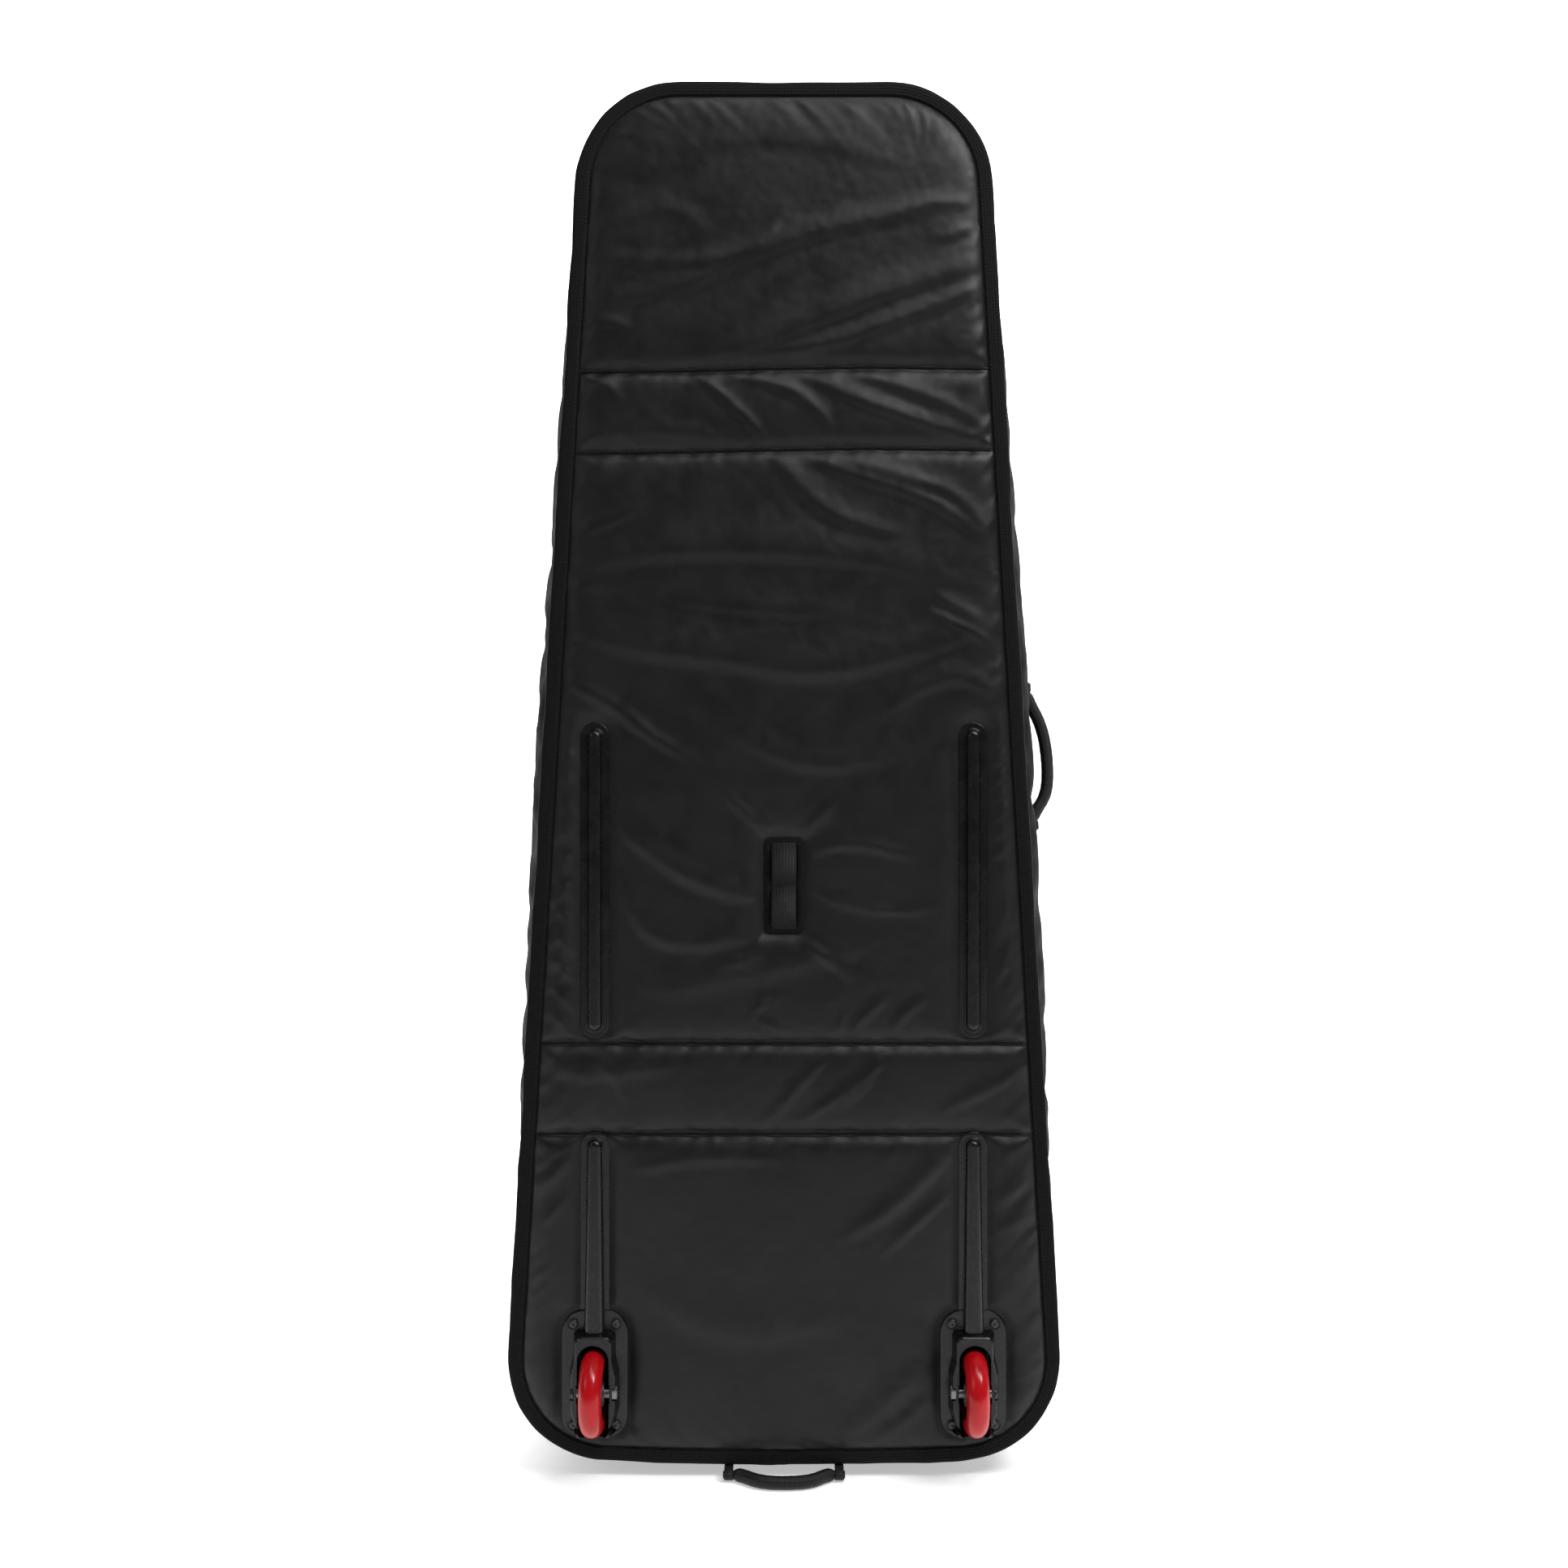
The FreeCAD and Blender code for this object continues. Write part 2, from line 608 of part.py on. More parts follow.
def wheel_housing(side):
    """The moulded housing: plate, raised body, wheel slot, well and screw seats."""
    x = SIDES[side] * TRACK / 2
    plate = slab(x, PLATE_Z0, PLATE_Z1, PLATE_WIDTH / 2, PLATE_CORNER_R, BACK, PLATE)
    plate = soften(plate, BACK - PLATE, 1.2)
    body = housing_body(side, 0)
    well = housing_cutout(side, 0, BACK, BACK + WELL_DEPTH + WELL_WALL)
    well = well.makeFillet(5.0, [e for e in well.Edges if all(v.Y > BACK + WELL_DEPTH for v in e.Vertexes)])
    shell = plate.fuse([body, well])
    slot = slab(x, AXLE_Z - SLOT_BELOW_AXLE, AXLE_Z + SLOT_ABOVE_AXLE, WELL_HALF_WIDTH, SLOT_CORNER_R,
                BACK + WELL_DEPTH, WELL_DEPTH + HOUSING_HEIGHT + 1)
    arch = slab(x, AXLE_Z, AXLE_Z + SLOT_ABOVE_AXLE, SLOT_HALF_WIDTH, SLOT_HALF_WIDTH,
                BACK, HOUSING_HEIGHT + 1)
    lower = slab(x, AXLE_Z - SLOT_BELOW_AXLE, AXLE_Z + SLOT_ABOVE_AXLE / 2, SLOT_HALF_WIDTH,
                 SLOT_CORNER_R, BACK, HOUSING_HEIGHT + 1)
    inner = slot.common(box(x - 40, x + 40, BACK, BACK + WELL_DEPTH, PLATE_Z0 - 1, PLATE_Z1 + 1))
    shell = shell.cut(inner.fuse([arch, lower]))
    for facing in (-1, 1):
        pocket = sorted((x + facing * EAR_SEAT, x + facing * PLATE_WIDTH / 2))
        shell = shell.cut(rod_x(*pocket, AXLE_Y, AXLE_Z, BOLT_HEAD_R + 1.2))
        relief = sorted((x + facing * (SLOT_HALF_WIDTH - 1), x + facing * (SLOT_HALF_WIDTH + 0.8)))
        shell = shell.cut(rod_x(*relief, AXLE_Y, AXLE_Z, BEARING_R))
    shell = shell.cut(rod_x(x - PLATE_WIDTH / 2, x + PLATE_WIDTH / 2, AXLE_Y, AXLE_Z, AXLE_R + 0.1))
    for sx, sz in housing_screw_places(side):
        radius = HOUSING_SCREW_R + HOUSING_SCREW_CLEARANCE
        shell = shell.cut(rod_y(sx, sz, radius, BACK - PLATE - 1, BACK + 1))
        seat_y = BACK - PLATE + HOUSING_SCREW_SEAT
        shell = shell.cut(rod_y(sx, sz, HOUSING_SCREW_SEAT_R, BACK - HOUSING_HEIGHT - 1, seat_y))
    solids = sorted(shell.Solids, key=lambda s: s.Volume)
    return one(solids[-1])


def housing_screws(side):
    """Four button-head screws through the plate, the back and the backing plate."""
    screws = []
    seat = BACK - PLATE + HOUSING_SCREW_SEAT
    tip = FOAM_Y + BACKING_PLATE + LOCK_NUT + 1.5
    for x, z in housing_screw_places(side):
        head = rod_y(x, z, HOUSING_SCREW_HEAD_R, seat - HOUSING_SCREW_HEAD, seat)
        head = soften(head, seat - HOUSING_SCREW_HEAD, HOUSING_SCREW_HEAD * 0.7)
        shank = rod_y(x, z, HOUSING_SCREW_R, seat, tip)
        socket = hexagon_y(x, z, HEX_ACROSS, seat - HOUSING_SCREW_HEAD - 1, seat - HOUSING_SCREW_HEAD + HEX_DEPTH)
        screws.append(one(head.fuse(shank).cut(socket)))
    return group(screws)


def backing_plate(side):
    """The plate that clamps the housing from inside the bag."""
    x = SIDES[side] * TRACK / 2
    plate = slab(x, PLATE_Z0, PLATE_Z1, PLATE_WIDTH / 2, PLATE_CORNER_R, FOAM_Y + BACKING_PLATE, BACKING_PLATE)
    return one(pierce_for_housings(plate, CUTOUT_CLEARANCE, FOAM_Y, FOAM_Y + BACKING_PLATE))


def housing_nuts(side):
    """Lock nuts on the housing screws, with a rounded collar."""
    nuts = []
    y0 = FOAM_Y + BACKING_PLATE
    for x, z in housing_screw_places(side):
        nut = hexagon_y(x, z, LOCK_NUT_ACROSS, y0, y0 + LOCK_NUT * 0.7)
        collar = rod_y(x, z, LOCK_NUT_ACROSS * 0.42, y0, y0 + LOCK_NUT)
        bore = rod_y(x, z, HOUSING_SCREW_R + RAIL_SCREW_CLEARANCE, y0 - 1, y0 + LOCK_NUT + 1)
        nuts.append(one(nut.fuse(collar).cut(bore)))
    return group(nuts)


# ---------------------------------------------------------------- wheels and axles
def spun(profile, x):
    """A solid of revolution about the axle, from points given as (along the axle, radius)."""
    points = [V(x + along, AXLE_Y, AXLE_Z + radius) for along, radius in profile]
    face = Part.Face(Part.makePolygon(points + points[:1]))
    return face.revolve(V(x, AXLE_Y, AXLE_Z), V(1, 0, 0), 360)


def tyre(side):
    """The round-profile urethane tyre."""
    x = SIDES[side] * TRACK / 2
    half = WHEEL_WIDTH / 2

    def at(along, radius):
        return V(x + along, AXLE_Y, AXLE_Z + radius)

    edges = [
        Part.Arc(at(-half, TYRE_SHOULDER_R), at(0, WHEEL_R), at(half, TYRE_SHOULDER_R)).toShape(),
        Part.makeLine(at(half, TYRE_SHOULDER_R), at(half, CORE_R + 2)),
        Part.makeLine(at(half, CORE_R + 2), at(CORE_WIDTH / 2, CORE_R)),
        Part.makeLine(at(CORE_WIDTH / 2, CORE_R), at(-CORE_WIDTH / 2, CORE_R)),
        Part.makeLine(at(-CORE_WIDTH / 2, CORE_R), at(-half, CORE_R + 2)),
        Part.makeLine(at(-half, CORE_R + 2), at(-half, TYRE_SHOULDER_R)),
    ]
    return Part.Face(Part.Wire(edges)).revolve(V(x, AXLE_Y, AXLE_Z), V(1, 0, 0), 360)


def wheel_core(side):
    """The hub: a rim, a drilled web and two bearing seats."""
    x = SIDES[side] * TRACK / 2
    half, web = CORE_WIDTH / 2, 4.0
    seat = BEARING_SPACING / 2
    boss = BEARING_R + 3.0
    edge = seat + BEARING_WIDTH - 0.6
    profile = [
        (-half, CORE_R), (-half, CORE_R - 3), (-web, CORE_R - 5), (-web, boss + 1), (-edge, boss),
        (-edge, BEARING_R), (-seat, BEARING_R), (-seat, BEARING_SHOULDER_R),
        (seat, BEARING_SHOULDER_R), (seat, BEARING_R), (edge, BEARING_R), (edge, boss),
        (web, boss + 1), (web, CORE_R - 5), (half, CORE_R - 3), (half, CORE_R),
    ]
    core = spun(profile, x)
    for k in range(CORE_HOLES):
        turn = 2 * math.pi * k / CORE_HOLES
        y = AXLE_Y + CORE_HOLE_PITCH_R * math.sin(turn)
        z = AXLE_Z + CORE_HOLE_PITCH_R * math.cos(turn)
        core = core.cut(rod_x(x - WHEEL_WIDTH, x + WHEEL_WIDTH, y, z, CORE_HOLE_R))
    return one(core)


def bearings(side):
    """The turning part of both bearings: outer race with its seals."""
    x = SIDES[side] * TRACK / 2
    races = []
    for facing in (-1, 1):
        a = facing * BEARING_SPACING / 2
        b = facing * (BEARING_SPACING / 2 + BEARING_WIDTH)
        lip = RACE_R + SEAL_CLEARANCE
        skin = facing * 1.0
        profile = [
            (a, lip), (a, BEARING_R), (b, BEARING_R), (b, lip), (b - skin, lip),
            (b - skin, BEARING_SHOULDER_R), (a + skin, BEARING_SHOULDER_R), (a + skin, lip),
        ]
        races.append(spun(profile, x))
    return group(races)


def bearing_cores(side):
    """The still part of both bearings: the inner races."""
    x = SIDES[side] * TRACK / 2
    races = []
    for facing in (-1, 1):
        a = facing * BEARING_SPACING / 2
        b = facing * (BEARING_SPACING / 2 + BEARING_WIDTH)
        bore = AXLE_R + AXLE_CLEARANCE
        races.append(spun([(a, bore), (a, RACE_R), (b, RACE_R), (b, bore)], x))
    return group(races)


def axle_spacers(side):
    """Three tubes on the axle: one between the bearings and one at each ear."""
    x = SIDES[side] * TRACK / 2
    inner = BEARING_SPACING / 2
    outer = inner + BEARING_WIDTH
    reach = SLOT_HALF_WIDTH + 0.8
    tubes = []
    for x0, x1 in ((-inner, inner), (outer, reach), (-reach, -outer)):
        tube = rod_x(x + x0, x + x1, AXLE_Y, AXLE_Z, SPACER_R)
        tubes.append(tube.cut(rod_x(x + x0 - 1, x + x1 + 1, AXLE_Y, AXLE_Z, AXLE_R + AXLE_CLEARANCE)))
    return group(tubes)


def axle_bolt(side):
    """The axle: a button-head bolt from the outer ear."""
    x, out = SIDES[side] * TRACK / 2, SIDES[side]
    seat = x + out * EAR_SEAT
    tip = x - out * (EAR_SEAT + NUT_HEIGHT + 1)
    head = rod_x(*sorted((seat, seat + out * BOLT_HEAD)), AXLE_Y, AXLE_Z, BOLT_HEAD_R)
    rim = [e for e in head.Edges if all(abs(v.X - seat - out * BOLT_HEAD) < 1e-4 for v in e.Vertexes)]
    head = head.makeFillet(BOLT_HEAD * 0.6, rim)
    shank = rod_x(*sorted((tip, seat)), AXLE_Y, AXLE_Z, AXLE_R)
    socket = rod_x(*sorted((seat + out * BOLT_HEAD * 0.4, seat + out * (BOLT_HEAD + 1))), AXLE_Y, AXLE_Z, 2.6)
    return one(head.fuse(shank).cut(socket))


def axle_nut(side):
    """The axle's lock nut in the inner ear."""
    x, inward = SIDES[side] * TRACK / 2, -SIDES[side]
    seat = x + inward * EAR_SEAT
    corner = NUT_ACROSS / math.sqrt(3)
    points = []
    for k in range(6):
        turn = math.radians(60 * k + 30)
        points.append(V(seat, AXLE_Y + corner * math.cos(turn), AXLE_Z + corner * math.sin(turn)))
    nut = Part.Face(Part.makePolygon(points + points[:1])).extrude(V(inward * NUT_HEIGHT, 0, 0))
    span = sorted((seat - inward, seat + inward * (NUT_HEIGHT + 1)))
    return one(nut.cut(rod_x(*span, AXLE_Y, AXLE_Z, AXLE_R + AXLE_CLEARANCE)))


# ---------------------------------------------------------------- storage loops
PATCH_Z = PATCH_HEIGHT + EDGE_LIFT


def storage_patch():
    """The fabric patch under the storage loops."""
    half = PATCH_LENGTH / 2
    return slab(0, PATCH_Z - half, PATCH_Z + half, PATCH_WIDTH / 2, 3.0, BACK, PATCH_THICK)


def patch_trim():
    """The bound edge round the storage patch."""
    half, y = PATCH_LENGTH / 2, BACK - PATCH_THICK
    outer = slab(0, PATCH_Z - half, PATCH_Z + half, PATCH_WIDTH / 2, 3.0, y, PATCH_TRIM_THICK)
    inner = slab(0, PATCH_Z - half + 4, PATCH_Z + half - 4, PATCH_WIDTH / 2 - PATCH_TRIM, 1.0, y + 1,
                 PATCH_TRIM_THICK + 2)
    return one(outer.cut(inner))


def storage_loops():
    """One strap sewn down at its ends and middle, so that it makes two loops."""
    length = PATCH_LENGTH - 2 * 4 - 1
    bay = (length - 3 * LOOP_SEAM) / 2
    base = BACK - PATCH_THICK
    solids = []
    for k in (-1, 0, 1):
        z = PATCH_Z + k * (bay + LOOP_SEAM)
        solids.append(box(-LOOP_WIDTH / 2, LOOP_WIDTH / 2, base - LOOP_THICK, base,
                          z - LOOP_SEAM / 2, z + LOOP_SEAM / 2))
    for k in (-1, 1):
        z0 = PATCH_Z + k * (bay + LOOP_SEAM) / 2 - bay / 2
        outer = [(base, z0), (base - LOOP_GAP - LOOP_THICK, z0 + bay / 2), (base, z0 + bay)]
        inner = [(base, z0 + LOOP_THICK), (base - LOOP_GAP, z0 + bay / 2), (base, z0 + bay - LOOP_THICK)]
        edges = []
        for curve in (outer, inner):
            edges.append(Part.Arc(*[V(-LOOP_WIDTH / 2, y, z) for y, z in curve]).toShape())
        for end in (0, 2):
            edges.append(Part.makeLine(*[V(-LOOP_WIDTH / 2, *c[end]) for c in (outer, inner)]))
        wire = Part.Wire(Part.__sortEdges__(edges))
        solids.append(Part.Face(wire).extrude(V(LOOP_WIDTH, 0, 0)))
    return one(solids[0].fuse(solids[1:]))


# ---------------------------------------------------------------- handles
def handle_path(start, end, reach_out, reach, slump=0.0):
    """A grip's centre line: its ends lie on the swing axis and its middle stands out by reach."""
    along = (end - start).normalize()
    span = (end - start).Length
    shares = [(0.0, 0.0), (GRIP_END / span, 0.0), (0.30 - slump, 0.82), (0.5 - slump, 1.0),
              (0.72 - slump, 0.80), (1 - GRIP_END / span, 0.0), (1.0, 0.0)]
    points = [start + along * (span * s) + reach_out * (reach * h) for s, h in shares]
    runs = [(points[i + 1] - points[i]).Length for i in range(len(points) - 1)]
    radii = [0.0]
    for i in range(1, len(points) - 1):
        turn = (points[i] - points[i - 1]).getAngle(points[i + 1] - points[i])
        radii.append(0.45 * min(runs[i - 1], runs[i]) / math.tan(turn / 2))
    radii.append(0.0)
    return rounded(points, radii, closed=False)


def grip(start, end, reach_out, reach, slump=0.0):
    """A padded grip on two slimmer ends that turn in its sleeves."""
    along = (end - start).normalize()
    path = handle_path(start, end, reach_out, reach, slump)
    first, last = path.Edges[0], path.Edges[-1]
    padded = tube_along(Part.Wire(path.Edges[1:-1]), GRIP_R)
    solids = []
    for edge, inward in ((first, along), (last, along * -1)):
        outer = start if inward is along else end
        solids.append(Part.makeCylinder(GRIP_END_R, edge.Length + GRIP_END_R, outer, inward))
    return one(padded.fuse(solids))


def plank(corner, along, across, up, length, width, height):
    """A block from one corner along three directions."""
    ring_points = [corner, corner + across * width, corner + across * width + along * length, corner + along * length]
    return Part.Face(Part.makePolygon(ring_points + ring_points[:1])).extrude(up * height)


def handle_sleeves(start, end, normal):
    """Two sewn patches, each with a sleeve round one end of a grip."""
    along = (end - start).normalize()
    across = normal.cross(along)
    bore = GRIP_END_R + SLEEVE_CLEARANCE
    neck = bore + SLEEVE_THICK / 2
    gap = axis_gap()
    solids = []
    for place, inward in ((start, along), (end, along * -1)):
        low = place + inward * SLEEVE_MARGIN
        sleeve = Part.makeCylinder(bore + SLEEVE_THICK, SLEEVE_LENGTH, low, inward)
        web = plank(low - across * neck - normal * (gap - TAB_THICK / 2), inward, across, normal,
                    SLEEVE_LENGTH, 2 * neck, gap - TAB_THICK / 2)
        far = inward * (TAB_LENGTH - SLEEVE_LENGTH)
        patch = plank(low - across * (TAB_WIDTH / 2) - normal * gap - far, inward, across, normal,
                      TAB_LENGTH, TAB_WIDTH, TAB_THICK)
        bore_rod = Part.makeCylinder(bore, SLEEVE_LENGTH + 2, low - inward, inward)
        solids.append(one(patch.fuse([sleeve, web]).cut(bore_rod)))
    return group(solids)


def axis_gap():
    """How far a grip's swing axis stands off the surface that its patches are sewn to."""
    return GRIP_R + HANDLE_CLEARANCE


def side_handle_ends():
    """Both ends of the side handle's axis, off the bulged wall."""
    share = [(z + EDGE_LIFT - SIDE_Z0) / (SIDE_Z1 - SIDE_Z0) for z in SIDE_HANDLE]
    bulge = WALL_BULGE * max(math.sin(math.pi * s) for s in share)
    ends = []
    for z in SIDE_HANDLE:
        point, _, out = side_frame("right", z)
        ends.append(point + out * (bulge - WALL_INSET + axis_gap() + LAYER_GAP) + V(0, 0, 0))
    return ends


def tail_handle_ends():
    """Both ends of the tail handle's axis, just in front of the bound edge and off the ground."""
    y = BACK - BINDING_PROUD - GRIP_R - HANDLE_CLEARANCE
    z = GRIP_R + LAYER_GAP
    return [V(-TAIL_HANDLE_SPAN / 2, y, z), V(TAIL_HANDLE_SPAN / 2, y, z)]


def nose_handle_ends():
    """Both ends of the nose handle's axis, over the nose wall."""
    z = EDGE_LIFT + BODY_LENGTH - WALL_INSET + axis_gap()
    y = -NOSE_HANDLE_SET_BACK
    return [V(-NOSE_HANDLE_SPAN / 2, y, z), V(NOSE_HANDLE_SPAN / 2, y, z)]


def side_handle():
    """The carry handle, which slumps towards the tail."""
    _, _, out = side_frame("right", SIDE_HANDLE[0])
    return grip(*side_handle_ends(), out, SIDE_HANDLE_REACH, 0.04)


def tail_handle():
    """The tail grip, lying on the ground in front of the wheels."""
    return grip(*tail_handle_ends(), V(0, -1, 0), TAIL_HANDLE_REACH)


def nose_handle():
    """The pull handle, folded down on the nose."""
    return grip(*nose_handle_ends(), V(0, 1, 0), NOSE_HANDLE_REACH)


def side_handle_tabs():
    """The side handle's sewn patches and sleeves."""
    _, _, out = side_frame("right", SIDE_HANDLE[0])
    return handle_sleeves(*side_handle_ends(), out)


def nose_handle_tabs():
    """The nose handle's sewn patches and sleeves."""
    return handle_sleeves(*nose_handle_ends(), V(0, 0, 1))


def tail_handle_tabs():
    """Sleeves round the tail handle's ends, on webbing that runs back under the edge to the tail wall."""
    bore = GRIP_END_R + SLEEVE_CLEARANCE
    wall = EDGE_LIFT + WALL_INSET + TAIL_CORNER_Z
    solids = []
    for place in tail_handle_ends():
        inward = -1 if place.x > 0 else 1
        x0, x1 = sorted((place.x + inward * SLEEVE_MARGIN, place.x + inward * (SLEEVE_MARGIN + SLEEVE_LENGTH)))
        z0, z1 = place.z + bore, place.z + bore + TAB_THICK
        sleeve = rod_x(x0, x1, place.y, place.z, bore + SLEEVE_THICK)
        sleeve = sleeve.cut(box(x0 - 1, x1 + 1, place.y - 20, place.y + 20, z1, z1 + 20))
        web = box(x0, x1, place.y, place.y + TAIL_TAB_LENGTH, z0, z1)
        sewn = box(x0, x1, WALL_START + 2, place.y + TAIL_TAB_LENGTH, z0, wall).cut(prism(WALL_INSET, BACK, FRONT))
        bore_rod = rod_x(x0 - 1, x1 + 1, place.y, place.z, bore)
        solids.append(one(sleeve.fuse([web, sewn]).cut(bore_rod)))
    return group(solids)


# ---------------------------------------------------------------- lid and zip
def zip_side(shape):
    """The part of a ring that has the zip: all but the straight left side."""
    reach = 2 * TAIL_HALF_WIDTH
    return shape.cut(box(-reach, 0, -DEPTH, DEPTH, SIDE_Z0, SIDE_Z1))


def zip_track(facing):
    """One half of the zip, sewn on the outside of the walls: its tape and its row of coil."""
    edge = SPLIT + facing * BODY_GAP / 2
    tape = sorted((SPLIT + facing * ZIP_TAPE_WIDTH, edge + facing * 1.5))
    coil = sorted((edge, edge + facing * ZIP_COIL_WIDTH))
    band = ring(WALL_INSET - ZIP_TAPE_THICK, WALL_INSET, *tape)
    chain = ring(WALL_INSET - ZIP_COIL_THICK, WALL_INSET, *coil)
    return one(zip_side(band.fuse(chain)))


def lid_wall(z0, z1, side=0):
    """A stretch of the lid's walls, from the zip to the front panel; side -1 or 1 keeps one long side."""
    band = ring(WALL_INSET, WALL_INNER, SPLIT + BODY_GAP / 2, FRONT - BINDING_THICK + BINDING_PROUD)
    wall = slice_z(band, z0, z1)
    if side:
        reach = side * 2 * TAIL_HALF_WIDTH
        wall = wall.common(box(min(0, reach), max(0, reach), 0, DEPTH, 0, 2 * BODY_LENGTH))
    return one(wall)


def front_binding():
    """The tape that binds the front panel to the lid's rim."""
    tape = ring(0, BINDING_WIDTH, FRONT - BINDING_THICK + BINDING_PROUD, FRONT + BINDING_PROUD)
    return one(soften(tape, FRONT + BINDING_PROUD, BINDING_PROUD * 0.8))


def front_fabric():
    """The outer fabric of the front."""
    return prism(BINDING_WIDTH, FRONT - FABRIC, FRONT)


def front_foam():
    """The padding of the front, inside the rim."""
    deep = prism(WALL_INNER + LAYER_GAP, FRONT - FABRIC - FOAM, FRONT - BINDING_THICK + BINDING_PROUD)
    shallow = prism(BINDING_WIDTH, FRONT - BINDING_THICK + BINDING_PROUD, FRONT - FABRIC)
    return one(deep.fuse(shallow))


def front_lining():
    """The inner fabric of the lid."""
    return prism(WALL_INNER + LAYER_GAP, LID_INSIDE_Y, LID_INSIDE_Y + LINING)


def on_zip(height, shapes):
    """Moves shapes drawn about the origin, as (out, depth, up), to the zip on the right side."""
    point, up, out = side_frame("right", height)
    matrix = FreeCAD.Matrix(out.x, 0, up.x, point.x, 0, 1, 0, SPLIT, out.z, 0, up.z, point.z, 0, 0, 0, 1)
    return [s.transformGeometry(matrix) for s in shapes]


def slider_and_pull():
    """A zip slider with its bail, and the pull that hangs from it, drawn about the origin."""
    base = ZIP_COIL_THICK - WALL_INSET + SLIDER_GAP
    top = base + SLIDER_THICK
    half_l, half_w = SLIDER_LENGTH / 2, SLIDER_WIDTH / 2
    plan = [
        V(base, -half_w * 0.62, -half_l), V(base, half_w * 0.62, -half_l), V(base, half_w, half_l * 0.3),
        V(base, half_w * 0.8, half_l), V(base, -half_w * 0.8, half_l), V(base, -half_w, half_l * 0.3),
    ]
    plate = Part.Face(rounded(plan, [1.5, 1.5, 3.0, 2.0, 2.0, 3.0])).extrude(V(SLIDER_THICK, 0, 0))
    upper = [e for e in plate.Edges if all(abs(v.X - top) < 1e-6 for v in e.Vertexes)]
    plate = plate.makeFillet(0.8, upper)
    arch = [V(top - 0.5, -BAIL_WIDTH / 2, -BAIL_LENGTH / 2), V(top - 0.5, -BAIL_WIDTH / 2, BAIL_LENGTH / 2),
            V(top + BAIL_HEIGHT, -BAIL_WIDTH / 2, BAIL_LENGTH / 2),
            V(top + BAIL_HEIGHT, -BAIL_WIDTH / 2, -BAIL_LENGTH / 2)]
    bail = Part.Face(rounded(arch, [0, 0, 3.0, 3.0])).extrude(V(0, BAIL_WIDTH, 0))
    pin_x = top + BAIL_HEIGHT / 2
    eye = Part.makeCylinder(PIN_R + PIN_CLEARANCE, BAIL_WIDTH + 2, V(pin_x, -BAIL_WIDTH / 2 - 1, 0), V(0, 1, 0))
    slider = one(plate.fuse(bail).cut(eye))
    arm_gap = BAIL_WIDTH / 2 + PIN_CLEARANCE
    half_p = PULL_WIDTH / 2
    tab_top = -BAIL_LENGTH / 2 - 2.0
    tab_plan = [V(pin_x - PULL_THICK / 2, -half_p, 1.6), V(pin_x - PULL_THICK / 2, half_p, 1.6),
                V(pin_x - PULL_THICK / 2, half_p, -PULL_LENGTH),
                V(pin_x - PULL_THICK / 2, -half_p, -PULL_LENGTH)]
    tab = Part.Face(rounded(tab_plan, [1.4, 1.4, 4.0, 4.0])).extrude(V(PULL_THICK, 0, 0))
    window = Part.makeBox(PULL_THICK + 2, 2 * arm_gap, 20 - tab_top, V(pin_x - PULL_THICK / 2 - 1, -arm_gap, tab_top))
    slot = Part.makeBox(PULL_THICK + 2, 3.0, 8.0, V(pin_x - PULL_THICK / 2 - 1, -1.5, -PULL_LENGTH + 4))
    pin = Part.makeCylinder(PIN_R, PULL_WIDTH - 1, V(pin_x, -half_p + 0.5, 0), V(0, 1, 0))
    pull = one(tab.cut(window.fuse(slot)).fuse(pin))
    return slider, pull


# ---------------------------------------------------------------- the whole bag
def parts():
    """Every node's shape by name."""
    low, high = SIDE_Z0, SIDE_Z1
    top = EDGE_LIFT + BODY_LENGTH + 1
    nodes = {
        "back_fabric": back_fabric(),
        "back_binding": back_binding(),
        "stiffener_boards": stiffener_boards(),
        "back_foam": back_foam(),
        "back_lining": back_lining(),
        "tail_gusset": end_wall(0, low),
        "nose_gusset": end_wall(high, top),
        "left_gusset": side_wall("left"),
        "right_gusset": side_wall("right"),
        "tail_bumper": tail_bumper(),
        "zip_track_shell": zip_track(-1),
        "zip_track_lid": zip_track(1),
        "tail_lid_wall": lid_wall(0, low),
        "nose_lid_wall": lid_wall(high, top),
        "left_lid_wall": lid_wall(low, high, -1),
        "right_lid_wall": lid_wall(low, high, 1),
        "front_fabric": front_fabric(),
        "front_foam": front_foam(),
        "front_lining": front_lining(),
        "front_binding": front_binding(),
        "rail_screws": rail_screws(),
        "storage_patch": storage_patch(),
        "storage_patch_trim": patch_trim(),
        "storage_loops": storage_loops(),
        "side_handle": side_handle(),
        "side_handle_tabs": side_handle_tabs(),
        "tail_handle": tail_handle(),
        "tail_handle_tabs": tail_handle_tabs(),
        "nose_handle": nose_handle(),
        "nose_handle_tabs": nose_handle_tabs(),
    }
    per_side = {
        "upper_rail": upper_rail,
        "lower_rail": lower_rail,
        "wheel_housing": wheel_housing,
        "housing_screws": housing_screws,
        "backing_plate": backing_plate,
        "housing_nuts": housing_nuts,
        "wheel_tyre": tyre,
        "wheel_core": wheel_core,
        "wheel_bearings": bearings,
        "bearing_inner_races": bearing_cores,
        "axle_spacers": axle_spacers,
        "axle_bolt": axle_bolt,
        "axle_nut": axle_nut,
    }
    for name, make in per_side.items():
        for side in SIDES:
            nodes[f"{name}_{side}"] = make(side)
    for name, height in (("upper", SLIDER_PARK + SLIDER_SPACING), ("lower", SLIDER_PARK)):
        slider, pull = on_zip(height, slider_and_pull())
        nodes[f"zip_slider_{name}"] = slider
        nodes[f"zip_pull_{name}"] = pull
    return nodes


